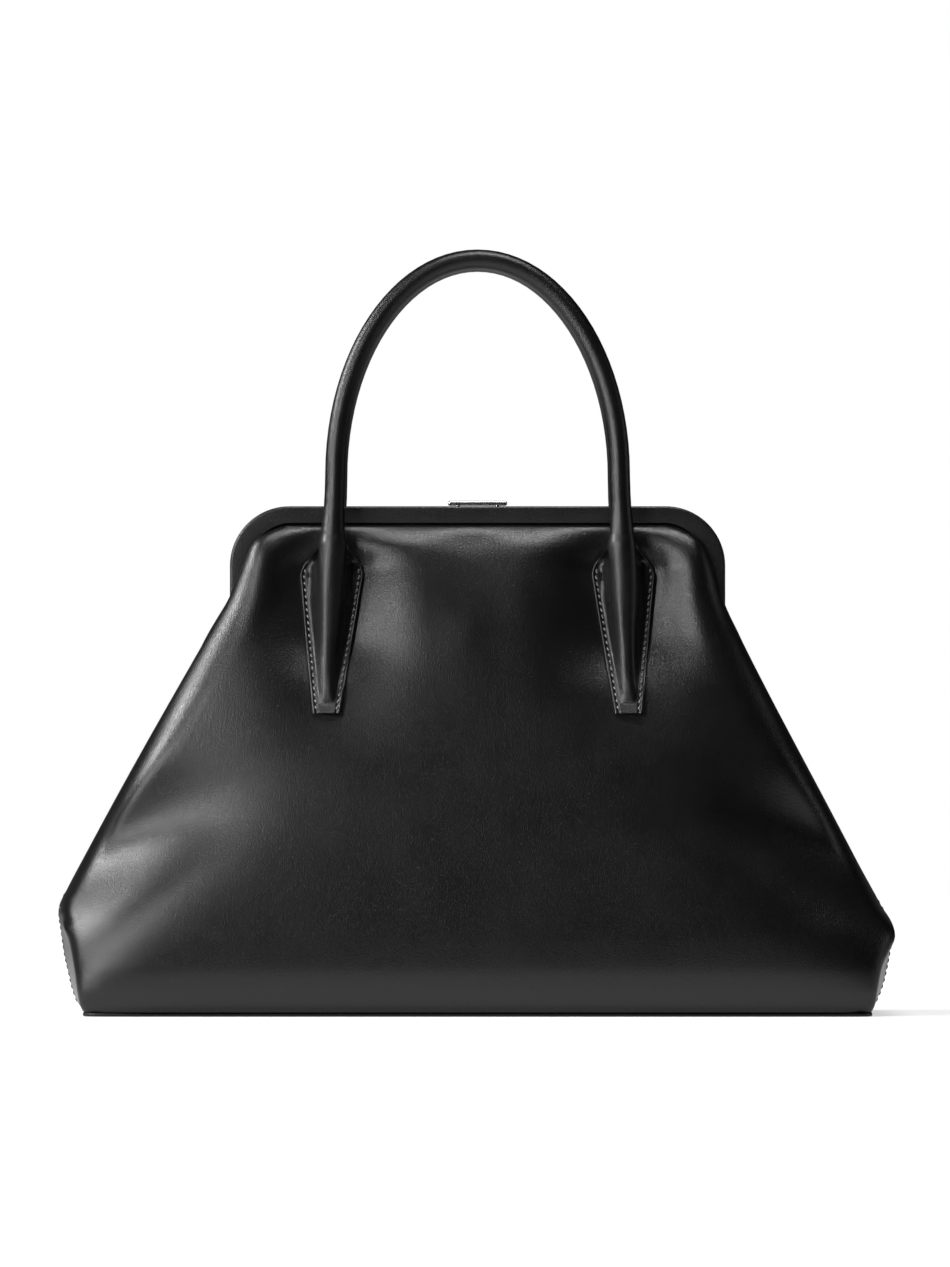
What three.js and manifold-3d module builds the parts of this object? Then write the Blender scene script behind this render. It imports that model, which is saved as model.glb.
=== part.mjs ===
// Frame-top leather handbag, in millimetres. +X is to the right of the front, -Y is the front, +Z is up.
// The bag stands on z = 0, centred on the origin. The back is the front mirrored, apart from the clasp.
import * as THREE from 'three';
import { mergeVertices } from 'three/addons/utils/BufferGeometryUtils.js';
import Module from 'manifold-3d';

const wasm = await Module();
wasm.setup();

// Clearances
const SEAT_GAP = 0.3;
const TUCK_GAP = 0.5;
const SLOT_GAP = 0.5;

// Leather and other sheet thicknesses
const PANEL_THICK = 2;
const LINING_THICK = 0.8;
const BASE_THICK = 2;
const BOARD_THICK = 2;
const TAB_THICK = 2.6;

// Frame: two U-shaped halves that meet at y = 0
const FRAME_TOP = 256;
const FRAME_HALF_WIDTH = 125;
const FRAME_CORNER = 30;
const FRAME_DEPTH = 11;
const FRAME_SPLIT = 0.3;
const FRAME_BAR_WIDTH = 8.6;
const FRAME_LEG_WIDTH = 11;
const FRAME_LEG_END = 203;
const COVER_WALL = 1.4;
const COVER_ROUND = 1.5;
const COVER_EDGE = 0.5;
const CORE_THICK = 3;
const FRAME_FRONT = FRAME_SPLIT + FRAME_DEPTH;
const CHANNEL_BACK = FRAME_SPLIT + COVER_WALL;
const CHANNEL_FRONT = FRAME_FRONT - COVER_WALL;
const CORE_OUTER = COVER_WALL + SEAT_GAP;
const CORE_INNER = CORE_OUTER + CORE_THICK;

// Hinge of the frame, at the lower end of each leg
const HINGE_Z = 196;
const LUG_RADIUS = 4.2;
const LUG_OVERLAP = 4;
const PIN_RADIUS = 1.5;
const PIN_HEAD_RADIUS = 3.2;
const PIN_HEAD_THICK = 1.3;
const PIN_HEAD_EDGE = 0.4;
const WASHER_RADIUS = 3;
const WASHER_THICK = 0.5;

// Push clasp on top of the frame
const BAR_LENGTH = 30;
const BAR_DEPTH = 7;
const BAR_THICK = 2.3;
const BAR_LIFT = 1;
const STEM_RADIUS = 1;
const STEM_X = 10;
const STEM_Y = 4;
const TONGUE_HALF = 6;
const TONGUE_THICK = 1.2;
const TONGUE_REACH = 4.6;
const TONGUE_Z = 248.6;
const TONGUE_TIP = 0.4;
const HOUSING_HALF = 14;
const HOUSING_WALL = 0.6;
const HOUSING_FLOOR = 245.6;
const HOUSING_FRONT = 2;
const HOUSING_BACK = 6;
const LEAF_THICK = 0.4;
const LEAF_RISE = 1;
const LEAF_FLAT = 8;
const LEAF_WIDTH = 2.6;
const LEAF_BACK = 5;
const BAR_EDGE = 0.6;

// Handles and their tabs
const HANDLE_HALF = 71.5;
const HANDLE_SPLAY = 0.8;
const HANDLE_FOOT_X = HANDLE_HALF + HANDLE_SPLAY;
const HANDLE_SPRING_Z = 272;
const HANDLE_TOP_Z = 381;
const HANDLE_FOOT_Z = 238.6;
const HANDLE_FOOT_DEPTH = 27.4;
const HANDLE_TOP_DEPTH = 6.3;
const HANDLE_RADIUS = 5.2;
const HANDLE_FOOT_RADIUS = 7;
const HANDLE_FLARE = 12;
const HANDLE_WALL = 1.3;
const TAB_TOP_Z = 236.4;
const TAB_SHOULDER_Z = 221;
const TAB_BOTTOM_Z = 151;
const TAB_TOP_HALF = 7.6;
const TAB_SHOULDER_HALF = 15.8;
const TAB_BOTTOM_HALF = 7;
const TAB_TOP_SPLAY = 1.5;
const TAB_BOTTOM_SPLAY = 4;
const TAB_TOP_X = HANDLE_HALF + TAB_TOP_SPLAY;
const TAB_BOTTOM_X = HANDLE_HALF + TAB_BOTTOM_SPLAY;
const SPINE_TIP_Z = 163;
const SPINE_HALF = 6.8;
const SPINE_RISE = 10.6;
const TAB_LIFT = 0.1;
const TAB_ROWS = [TAB_BOTTOM_Z, SPINE_TIP_Z, 175, 188, 200, 211, TAB_SHOULDER_Z, 229, TAB_TOP_Z];
const SPINE_EDGE = 0.72;
const TAB_SHARES = [-1, -SPINE_EDGE, -0.56, -0.3, 0, 0.3, 0.56, SPINE_EDGE, 1];

// Base: three plates on each other
const BASE_HALF_X = 197;
const BASE_HALF_Y = 63.6;
const BASE_CORNER = 7;
const BASE_BOW_X = 1.2;
const BASE_BOW_Y = 0.6;
const BOARD_INSET = 5;
const BASE_LINING_INSET = 8;

// Body: profiles from the bottom edge up, as [height, value]
const BOTTOM_EDGE = 2.9;
const FOLD_TOP = 244.3;
const KINK_Z = 50;
const NECK_Z = 191;
const HAIRPIN_ROUND = 1.3;
const BELLY = [[0, 64], [14, 68.5], [30, 71], [50, 69.5], [100, 57.5], [150, 45], [190, 34.5], [212, 29],
  [226, 24.6], [235, 20.6], [241, 16.4], [FOLD_TOP, 13.2]];
const FOLD_X = [[0, 195.8], [24, 199.4], [37, 203], [KINK_Z, 208.2], [66, 200.6], [209, FRAME_HALF_WIDTH - 1.8],
  [226, FRAME_HALF_WIDTH - 7.6], [237, FRAME_HALF_WIDTH - 12.6], [241, FRAME_HALF_WIDTH - 18],
  [FOLD_TOP, FRAME_HALF_WIDTH - 28]];
const FOLD_Y = [[0, 59], [12, 57.5], [24, 54], [37, 47.5], [45, 33], [KINK_Z, 10], [56, 4.6], [75, 8],
  [93, 13], [110, 17.5], [125, 20], [140, 21.5], [160, 21], [185, 17.5], [203, 14.6], [226, 13.9],
  [237, 13.7], [FOLD_TOP, 13]];
const FOLD_ROLL = [[0, 2], [25, 5], [KINK_Z, 8], [93, 10], [125, 12], [190, 13], [212, 9], [226, 6.5],
  [237, 4.5], [FOLD_TOP, 0.6]];
const SHOULDER_X = [[0, 220], [12, 216], [24, 214], [37, 214], [KINK_Z, 207], [62, 193], [75, 176.5], [93, 161],
  [110, 155.5], [140, 154], [160, 146], [190, 129.5], [212, 117], [226, 112], [FOLD_TOP, 100]];
const SHOULDER_SPAN = [[0, 10], [37, 10], [KINK_Z, 8.5], [62, 9], [75, 10.8], [93, 13], [110, 11.5], [125, 9.5],
  [140, 8], [160, 7], [212, 7], [FOLD_TOP, 6]];
const FLANGE = [[0, 0], [37, 0], [KINK_Z, 3], [62, 6], [75, 9], [93, 14], [110, 18], [125, 21], [140, 24],
  [160, 27], [190, 26], [212, 23.5], [226, 21], [235, 18.8], [241, 15.6], [FOLD_TOP, 13.1]];
const LINING_FULLNESS = [[0, 14], [12, 9], [25, 6.8], [KINK_Z, 4.9], [75, 3.9], [100, 3.2], [150, 2.6],
  [190, 2.3], [FOLD_TOP, 4]];
const SEAM_X = [[0, 199.2], [12, 203.6], [24, 206.4], [37, 208.4], [KINK_Z, 209.6], [75, 191.5], [100, 173],
  [150, 139.5], [170, 127], [185, FRAME_HALF_WIDTH - 10.4], [NECK_Z, FRAME_HALF_WIDTH - 13.2],
  [HINGE_Z, FRAME_HALF_WIDTH - 12.6], [200, FRAME_HALF_WIDTH - 9.6], [203.6, FRAME_HALF_WIDTH - 5.4]];
const SEAM_Y = [[0, 0.35], [40, 0.4], [KINK_Z, 0.9], [75, 1.25], [188, 1.25], [HINGE_Z, 4], [200, 7],
  [203.6, 8.6]];
const VALLEY_START = 165;
const CORNER_REACH = 1.36;
const CORNER_CREEP = 1.25;
const ROLL_START = 0.5;
const ROLL_SPAN = 0.8;
const ROLL_TURNS = [[60, 0.5], [72, 0.15], [82, 0]];
const PANEL_ROWS = [BOTTOM_EDGE, 14, 36, KINK_Z, 64, 90, 125, VALLEY_START, 182, NECK_Z, HINGE_Z, 200, 203.6,
  214, 226, 232, 237, 241, FOLD_TOP];
const PANEL_COLUMNS = [0.22, 0.46, 0.68, 0.86];
const ROLL_COLUMNS = [1.1, 0.3];
const LINING_BOTTOM = 6.2;
const LINING_ROWS = [LINING_BOTTOM, 16, 30, KINK_Z, 66, 95, 130, VALLEY_START, 182, NECK_Z, HINGE_Z, 200, 203.6,
  214, 226, 232, 237];
const LINING_COLUMNS = [0.28, 0.55, 0.8, 1];
const LINING_EASE = 2.6;
const LINING_TURN = 2.4;
const LINING_SEAM_INSET = 3.4;
const LINING_SIDE_INSET = 4.2;
const LINING_LEG_INSET = 5;
const LINING_SEAM_DEPTH = 0.8;
const LINING_LEAST_DEPTH = 1.6;
const LINING_FOLD_DEPTH = 2.2;
const LINING_FRAME_DEPTH = 9;
const LINING_RISE = 25;
const POCKET_HALF = 75;
const POCKET_BOTTOM = 95;
const POCKET_TOP = 172;
const POCKET_EASE = 1.5;

// Value of a [height, value] profile at a height, straight from point to point
function straight(profile, height) {
  const last = profile.length - 1;
  if (height <= profile[0][0]) return profile[0][1];
  if (height >= profile[last][0]) return profile[last][1];
  const k = profile.findIndex((p) => p[0] > height);
  const [low, start] = profile[k - 1];
  const [high, end] = profile[k];
  return start + ((end - start) * (height - low)) / (high - low);
}

// The same with a smooth slope through the points
function along(profile, height) {
  const last = profile.length - 1;
  if (height <= profile[0][0]) return profile[0][1];
  if (height >= profile[last][0]) return profile[last][1];
  let k = 0;
  while (profile[k + 1][0] < height) k += 1;
  const slope = (i) => {
    if (i === 0 || i === last) return null;
    const before = (profile[i][1] - profile[i - 1][1]) / (profile[i][0] - profile[i - 1][0]);
    const after = (profile[i + 1][1] - profile[i][1]) / (profile[i + 1][0] - profile[i][0]);
    return before * after <= 0 ? 0 : (2 * before * after) / (before + after);
  };
  const span = profile[k + 1][0] - profile[k][0];
  const chord = (profile[k + 1][1] - profile[k][1]) / span;
  const startSlope = slope(k) ?? chord;
  const endSlope = slope(k + 1) ?? chord;
  const t = (height - profile[k][0]) / span;
  const rise = (2 * t - 3) * t * t;
  return profile[k][1] * (1 + rise) - profile[k + 1][1] * rise
    + span * t * (1 - t) * (startSlope * (1 - t) - endSlope * t);
}

const mix = (a, b, t) => a + (b - a) * t;
const ease = (t) => {
  const c = Math.min(1, Math.max(0, t));
  return c * c * (3 - 2 * c);
};

// Depth of the swelling front before its edges roll over: flat in the middle, falling over a shoulder
function swellDepth(x, z) {
  const line = along(SHOULDER_X, z);
  const span = along(SHOULDER_SPAN, z);
  const fall = (place) => 1 / (1 + Math.exp((line - place) / span));
  const share = (fall(Math.abs(x)) - fall(0)) / (1 - fall(0));
  return mix(along(BELLY, z), along(FLANGE, z), share);
}

// Depth of the front panel's middle surface at a point of the front
function panelDepth(x, z) {
  const half = straight(FOLD_X, z);
  const inside = Math.max(0, half - Math.abs(x));
  const short = 1 - Math.min(1, inside / along(FOLD_ROLL, z));
  const roll = Math.max(0, swellDepth(half, z) - straight(FOLD_Y, z));
  return swellDepth(x, z) - roll * (1 - Math.sqrt(1 - short * short));
}

// Place on the outer edge of the frame, and the way in from it, by the angle round its corner
function frameEdge(x, z, angle) {
  const cx = FRAME_HALF_WIDTH - FRAME_CORNER;
  const cz = FRAME_TOP - FRAME_CORNER;
  if (angle <= 0) return { x: FRAME_HALF_WIDTH, z, nx: -1, nz: 0 };
  if (angle >= Math.PI / 2) return { x, z: FRAME_TOP, nx: 0, nz: -1 };
  const c = Math.cos(angle);
  const s = Math.sin(angle);
  return { x: cx + FRAME_CORNER * c, z: cz + FRAME_CORNER * s, nx: -c, nz: -s };
}

const frameWidth = (angle) => mix(FRAME_LEG_WIDTH, FRAME_BAR_WIDTH, angle / (Math.PI / 2));

// Angle round the frame's corner that a row of the body meets
function rowAngle(z) {
  const bend = FRAME_TOP - FRAME_CORNER;
  const top = FOLD_TOP - bend;
  return z <= bend ? 0 : CORNER_REACH * ((z - bend) / top) ** CORNER_CREEP;
}

// Closed geometry from points and faces of three or four corners
function solid(points, faces) {
  const position = [];
  const index = [];
  points.forEach((p) => position.push(p.x, p.y, p.z));
  faces.forEach((f) => {
    index.push(f[0], f[1], f[2]);
    if (f.length === 4) index.push(f[0], f[2], f[3]);
  });
  const geometry = new THREE.BufferGeometry();
  geometry.setAttribute('position', new THREE.Float32BufferAttribute(position, 3));
  geometry.setIndex(index);
  geometry.computeVertexNormals();
  return geometry;
}

// Sheet with a thickness: an open surface whose faces look outward, thickened evenly about its middle
function sheet(points, faces, thickness) {
  const normals = points.map(() => new THREE.Vector3());
  const edges = new Map();
  faces.forEach((f) => {
    const side = points[f[2]].clone().sub(points[f[0]]);
    const other = points[f[3]].clone().sub(points[f[1]]);
    const normal = side.cross(other).normalize();
    f.forEach((a, k) => {
      const b = f[(k + 1) % 4];
      normals[a].add(normal);
      if (edges.has(`${b},${a}`)) edges.delete(`${b},${a}`);
      else edges.set(`${a},${b}`, [a, b]);
    });
  });
  normals.forEach((n) => n.normalize());
  const half = thickness / 2;
  const count = points.length;
  const all = points.map((p, i) => p.clone().addScaledVector(normals[i], half));
  points.forEach((p, i) => all.push(p.clone().addScaledVector(normals[i], -half)));
  const skin = faces.map((f) => [...f]);
  faces.forEach(([a, b, c, d]) => skin.push([a + count, d + count, c + count, b + count]));
  edges.forEach(([a, b]) => skin.push([b, a, a + count, b + count]));
  return solid(all, skin);
}

// Loft of equal closed rings, whose flat ends are filled from the outline of the first and last ring
function loft(rings, outline) {
  const size = outline.length;
  const points = rings.flat();
  const faces = [];
  for (let k = 0; k + 1 < rings.length; k += 1) {
    for (let i = 0; i < size; i += 1) {
      const next = (i + 1) % size;
      faces.push([k * size + i, k * size + next, (k + 1) * size + next, (k + 1) * size + i]);
    }
  }
  const clockwise = THREE.ShapeUtils.isClockWise(outline);
  const triangles = THREE.ShapeUtils.triangulateShape(outline, []);
  const cap = triangles.map((t) => (clockwise ? [...t].reverse() : t));
  const end = (rings.length - 1) * size;
  cap.forEach(([a, b, c]) => {
    faces.push([c, b, a]);
    faces.push([end + a, end + b, end + c]);
  });
  return solid(points, faces);
}

// Boolean work on closed geometries
function toManifold(geometry) {
  const plain = geometry.clone();
  plain.deleteAttribute('normal');
  plain.deleteAttribute('uv');
  const merged = mergeVertices(plain, 1e-4);
  return new wasm.Manifold(new wasm.Mesh({
    numProp: 3,
    vertProperties: new Float32Array(merged.attributes.position.array),
    triVerts: new Uint32Array(merged.index.array),
  }));
}

function fromManifold(manifold) {
  const mesh = manifold.getMesh();
  const geometry = new THREE.BufferGeometry();
  geometry.setAttribute('position', new THREE.Float32BufferAttribute(mesh.vertProperties, 3));
  geometry.setIndex([...mesh.triVerts]);
  geometry.computeVertexNormals();
  return geometry;
}

function join(geometry, ...others) {
  return fromManifold(others.reduce((body, other) => body.add(toManifold(other)), toManifold(geometry)));
}

function cut(geometry, ...tools) {
  return fromManifold(tools.reduce((body, tool) => body.subtract(toManifold(tool)), toManifold(geometry)));
}

function box(low, high) {
  const geometry = new THREE.BoxGeometry(high[0] - low[0], high[1] - low[1], high[2] - low[2]);
  return geometry.translate((low[0] + high[0]) / 2, (low[1] + high[1]) / 2, (low[2] + high[2]) / 2);
}

// Copy mirrored to the back (y) or to the left (x), with its faces turned to stay outward
function mirrored(geometry, axis) {
  const copy = mergeVertices(geometry.clone().deleteAttribute('normal'), 1e-4);
  copy.scale(axis === 'x' ? -1 : 1, axis === 'y' ? -1 : 1, 1);
  const index = copy.index.array;
  for (let i = 0; i < index.length; i += 3) {
    const keep = index[i];
    index[i] = index[i + 1];
    index[i + 1] = keep;
  }
  copy.computeVertexNormals();
  return copy;
}

// Half of the bag as one wrapped sheet. Rows run across the front between the side folds. A strip of extra
// points goes on from each fold, round the frame's edge and into its channel, or to the seam of the side.
function wrappedHalf(rows, columns, place, strip) {
  const sides = [...columns.map((t) => -t).reverse(), 0, ...columns];
  const points = [];
  const faces = [];
  const grid = rows.map((z) => sides.map((t) => points.push(place(t, z)) - 1));
  const wide = sides.length - 1;
  for (let j = 0; j + 1 < rows.length; j += 1) {
    for (let i = 0; i < wide; i += 1) {
      faces.push([grid[j][i], grid[j][i + 1], grid[j + 1][i + 1], grid[j + 1][i]]);
    }
  }
  const border = [];
  rows.forEach((z, j) => border.push({ at: grid[j][wide], t: 1, z }));
  for (let i = wide - 1; i > 0; i -= 1) border.push({ at: grid[rows.length - 1][i], t: sides[i], z: null });
  [...rows].reverse().forEach((z, j) => border.push({ at: grid[rows.length - 1 - j][0], t: -1, z }));
  const lines = border.map((b) => {
    const side = b.t < 0 ? -1 : 1;
    const fold = points[b.at].clone();
    fold.x *= side;
    const run = strip(fold, b.z).map((p) => {
      p.x *= side;
      return points.push(p) - 1;
    });
    return [b.at, ...run];
  });
  for (let k = 0; k + 1 < lines.length; k += 1) {
    for (let i = 0; i + 1 < lines[k].length; i += 1) {
      faces.push([lines[k][i], lines[k][i + 1], lines[k + 1][i + 1], lines[k + 1][i]]);
    }
  }
  return { points, faces };
}

// Point of the frame's cross-section: distance in from the outer edge, and depth in front of y = 0
const framePoint = (edge, inward, depth) => new THREE.Vector3(
  edge.x + edge.nx * inward,
  -depth,
  edge.z + edge.nz * inward,
);

// Strip of the outer leather from the fold: round the edge of the frame's front wall into the channel, or
// down the inside of the side fold to the seam
function panelStrip(fold, z) {
  const top = z === null;
  const angle = top ? Math.PI / 2 : rowAngle(z);
  const edge = frameEdge(fold.x, z, angle);
  const width = frameWidth(Math.min(angle, Math.PI / 2));
  const bend = COVER_WALL / 2 + SEAT_GAP + PANEL_THICK / 2;
  const middle = FRAME_FRONT - COVER_WALL / 2;
  const tuck = CORE_INNER + TUCK_GAP;
  const over = top ? 1 : ease((angle - ROLL_START) / ROLL_SPAN);
  const turn = (degrees, radius) => framePoint(
    edge,
    width + radius * Math.sin(THREE.MathUtils.degToRad(degrees)),
    middle + radius * Math.cos(THREE.MathUtils.degToRad(degrees)),
  );
  const rolled = ROLL_TURNS.map(([d, share]) => turn(d, mix(bend, fold.distanceTo(turn(d, 0)), share)));
  const layer = new THREE.Vector3(fold.x - HAIRPIN_ROUND, fold.y + HAIRPIN_ROUND, fold.z);
  const hairpin = [layer, turn(0, bend), turn(45, bend)];
  const wrapped = hairpin.map((p, k) => p.lerp(rolled[k], over));
  wrapped.push(turn(90, bend), turn(135, bend), turn(180, bend), framePoint(edge, tuck, middle - bend));
  if (top || z >= FRAME_LEG_END) return wrapped;
  const seam = new THREE.Vector3(straight(SEAM_X, z), -straight(SEAM_Y, z), z);
  const pocket = ease((z - VALLEY_START) / (HINGE_Z - VALLEY_START));
  const last = wrapped.length;
  return wrapped.map((p, k) => {
    const straight = fold.clone().lerp(seam, (k + 1) / last);
    const close = seam.clone();
    close.y = Math.min(seam.y, p.y);
    const held = k < 4 ? p : close.lerp(p, k === last - 1 ? 0 : (last - 1 - k) / 5);
    return straight.lerp(held, k === last - 1 ? 0 : pocket);
  });
}

// Strip of the lining: from the front of the inside to its own seam, or up into the frame's channel
function liningStrip(fold, z) {
  const top = z === null;
  const angle = top ? Math.PI / 2 : rowAngle(z);
  const edge = frameEdge(fold.x, z, angle);
  const width = frameWidth(Math.min(angle, Math.PI / 2));
  const depth = CHANNEL_FRONT - SEAT_GAP - PANEL_THICK - SEAT_GAP - LINING_THICK / 2;
  const tuck = CORE_INNER + TUCK_GAP;
  const run = [
    framePoint(edge, width + LINING_TURN, depth + LINING_TURN / 2),
    framePoint(edge, width + LINING_TURN / 4, depth),
    framePoint(edge, tuck, depth),
  ];
  if (top || z >= FRAME_LEG_END) return run;
  const seamDepth = Math.max(LINING_SEAM_DEPTH, straight(SEAM_Y, z) - LINING_LEAST_DEPTH);
  const seam = new THREE.Vector3(straight(SEAM_X, z) - LINING_SEAM_INSET, -seamDepth, z);
  return [1, 2, 3].map((k) => fold.clone().lerp(seam, k / 3));
}

// Middle surface of the outer leather and of the lining, for a share of the half-width and a height
function panelPlace(t, z) {
  const half = straight(FOLD_X, z);
  const near = ROLL_COLUMNS[Math.round(Math.abs(t)) - 2] ?? 0;
  const x = Math.abs(t) < 1 ? t * half : Math.sign(t) * (half - near * along(FOLD_ROLL, z));
  return new THREE.Vector3(x, -panelDepth(x, z), z);
}

const LINING_INSET = PANEL_THICK / 2 + SEAT_GAP + LINING_THICK / 2 + LINING_EASE;

function liningHalf(z) {
  const side = z < KINK_Z ? straight(FOLD_X, z) : straight(SEAM_X, Math.min(z, NECK_Z));
  const leg = FRAME_HALF_WIDTH - FRAME_LEG_WIDTH - LINING_LEG_INSET;
  const edge = frameEdge(0, z, rowAngle(z));
  const corner = edge.x + edge.nx * (frameWidth(rowAngle(z)) + LINING_LEG_INSET);
  const low = side - LINING_SIDE_INSET;
  const rise = ease((z - NECK_Z) / (FRAME_LEG_END - NECK_Z));
  return z < NECK_Z ? low : mix(Math.min(low, leg), Math.min(leg, corner), rise);
}

function liningDepth(x, z) {
  const half = liningHalf(z);
  const rise = ease((z - NECK_Z) / LINING_RISE + 0.25);
  const above = mix(LINING_FOLD_DEPTH, LINING_FRAME_DEPTH, rise);
  const fold = z < KINK_Z ? straight(FOLD_Y, z) - LINING_INSET : above;
  const start = Math.max(LINING_FOLD_DEPTH, fold);
  const full = along(BELLY, z) - LINING_INSET;
  const share = 1 - Math.abs(x / half) ** along(LINING_FULLNESS, z);
  return Math.min(mix(start, full, share), panelDepth(x, z) - LINING_INSET);
}

function liningPlace(t, z) {
  const x = t * liningHalf(z);
  return new THREE.Vector3(x, -Math.max(LINING_LEAST_DEPTH, liningDepth(x, z)), z);
}

// Front and back panels, linings and the slip pocket
const rollMarks = ROLL_COLUMNS.map((share, k) => k + 2);
const foldMark = 1;
const outer = wrappedHalf(PANEL_ROWS, [...PANEL_COLUMNS, ...rollMarks, foldMark], panelPlace, panelStrip);
const panelGeometry = sheet(outer.points, outer.faces, PANEL_THICK);
const inner = wrappedHalf(LINING_ROWS, LINING_COLUMNS, liningPlace, liningStrip);
const liningGeometry = sheet(inner.points, inner.faces, LINING_THICK);

function pocketSheet() {
  const across = 8;
  const up = 4;
  const points = [];
  const faces = [];
  for (let j = 0; j <= up; j += 1) {
    for (let i = 0; i <= across; i += 1) {
      const x = mix(-POCKET_HALF, POCKET_HALF, i / across);
      const z = mix(POCKET_BOTTOM, POCKET_TOP, j / up);
      points.push(new THREE.Vector3(x, -(liningDepth(x, z) - LINING_THICK - SEAT_GAP - POCKET_EASE), z));
    }
  }
  for (let j = 0; j < up; j += 1) {
    for (let i = 0; i < across; i += 1) {
      const a = j * (across + 1) + i;
      faces.push([a, a + 1, a + across + 2, a + across + 1]);
    }
  }
  return sheet(points, faces, LINING_THICK);
}

// Flat plate of the base, with rounded corners and gently bowed sides
function basePlate(inset, low, thickness) {
  const halfX = BASE_HALF_X - inset;
  const halfY = BASE_HALF_Y - inset;
  const corner = BASE_CORNER + inset / 2;
  const bowX = BASE_BOW_X;
  const bowY = BASE_BOW_Y;
  const shape = new THREE.Shape();
  shape.moveTo(halfX - corner, -halfY);
  shape.quadraticCurveTo(halfX, -halfY, halfX, -halfY + corner);
  shape.quadraticCurveTo(halfX + bowX * 2, 0, halfX, halfY - corner);
  shape.quadraticCurveTo(halfX, halfY, halfX - corner, halfY);
  shape.quadraticCurveTo(0, halfY + bowY * 2, -halfX + corner, halfY);
  shape.quadraticCurveTo(-halfX, halfY, -halfX, halfY - corner);
  shape.quadraticCurveTo(-halfX - bowX * 2, 0, -halfX, -halfY + corner);
  shape.quadraticCurveTo(-halfX, -halfY, -halfX + corner, -halfY);
  shape.quadraticCurveTo(0, -halfY - bowY * 2, halfX - corner, -halfY);
  const plate = new THREE.ExtrudeGeometry(shape, { depth: thickness, bevelEnabled: false, curveSegments: 5 });
  return plate.translate(0, 0, low);
}

// Frame: a cross-section carried along the U, from the left leg's end to the right one's
function frameStations(legEnd) {
  const right = [{ x: 0, z: legEnd, angle: 0 }];
  const steps = 6;
  for (let k = 0; k <= steps; k += 1) {
    const angle = ((k / steps) * Math.PI) / 2;
    right.push({ x: FRAME_HALF_WIDTH - FRAME_CORNER, z: FRAME_TOP - FRAME_CORNER, angle });
  }
  const left = right.map((s) => ({ ...s, left: true }));
  return [...left, ...right.reverse()];
}

function frameSweep(profile, legEnd) {
  const rings = frameStations(legEnd).map((s) => {
    const edge = frameEdge(s.x, s.z, s.angle);
    return profile(frameWidth(s.angle)).map(([inward, depth]) => {
      const p = framePoint(edge, inward, depth);
      if (s.left) p.x *= -1;
      return p;
    });
  });
  const outline = profile(FRAME_LEG_WIDTH).map(([inward, depth]) => new THREE.Vector2(inward, depth));
  return loft(rings, outline);
}

function coverProfile(width) {
  const r = COVER_ROUND;
  const d = r * (1 - Math.SQRT1_2);
  return [
    [width, FRAME_FRONT - COVER_EDGE], [width, CHANNEL_FRONT], [COVER_WALL, CHANNEL_FRONT],
    [COVER_WALL, CHANNEL_BACK], [width, CHANNEL_BACK], [width, FRAME_SPLIT], [r, FRAME_SPLIT],
    [d, FRAME_SPLIT + d], [0, FRAME_SPLIT + r], [0, FRAME_FRONT - r], [d, FRAME_FRONT - d], [r, FRAME_FRONT],
    [width - COVER_EDGE, FRAME_FRONT],
  ];
}

function coreProfile() {
  const low = CHANNEL_BACK + SEAT_GAP;
  const high = CHANNEL_FRONT - SEAT_GAP;
  return [[CORE_INNER, high], [CORE_INNER, low], [CORE_OUTER, low], [CORE_OUTER, high]];
}

// Lug at the end of a core's leg, half as thick as the core, with the eye of the hinge pin
const LUG_THICK = (CORE_THICK - SEAT_GAP) / 2;

function hingeLug(outside) {
  const high = CHANNEL_FRONT - SEAT_GAP;
  const low = CHANNEL_BACK + SEAT_GAP;
  const overlap = FRAME_LEG_END + LUG_OVERLAP;
  const shape = new THREE.Shape();
  shape.moveTo(high, overlap);
  shape.lineTo(high, FRAME_LEG_END);
  shape.absarc(0, HINGE_Z, LUG_RADIUS, -0.6, 2.5, true);
  shape.lineTo(low, FRAME_LEG_END);
  shape.lineTo(low, overlap);
  const eye = new THREE.Path();
  eye.absarc(0, HINGE_Z, PIN_RADIUS + SEAT_GAP, 0, 2 * Math.PI, false);
  shape.holes.push(eye);
  const lug = new THREE.ExtrudeGeometry(shape, { depth: LUG_THICK, bevelEnabled: false, curveSegments: 8 });
  const inner = FRAME_HALF_WIDTH - CORE_INNER;
  const turn = new THREE.Matrix4().makeBasis(
    new THREE.Vector3(0, -1, 0),
    new THREE.Vector3(0, 0, 1),
    new THREE.Vector3(-1, 0, 0),
  );
  lug.applyMatrix4(turn);
  return lug.translate(outside ? inner + CORE_THICK : inner + LUG_THICK, 0, 0);
}

function frameCore(outside) {
  const bar = frameSweep(coreProfile, FRAME_LEG_END + LUG_OVERLAP / 4);
  const lug = hingeLug(outside);
  return join(bar, lug, mirrored(lug, 'x'));
}

// Round piece about the X axis, from a profile of [along, radius]
function turned(profile, segments) {
  const points = profile.map(([x, r]) => new THREE.Vector2(r, x));
  const lathe = new THREE.LatheGeometry(points, segments);
  return lathe.rotateZ(-Math.PI / 2);
}

const LUG_IN = FRAME_HALF_WIDTH - CORE_INNER;
const LUG_OUT = FRAME_HALF_WIDTH - CORE_OUTER;
const WASHER_IN = LUG_IN - SEAT_GAP - WASHER_THICK;
const WASHER_OUT = LUG_OUT + SEAT_GAP;
const HEAD_IN = WASHER_IN - SEAT_GAP;
const HEAD_OUT = WASHER_OUT + WASHER_THICK + SEAT_GAP;

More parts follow.
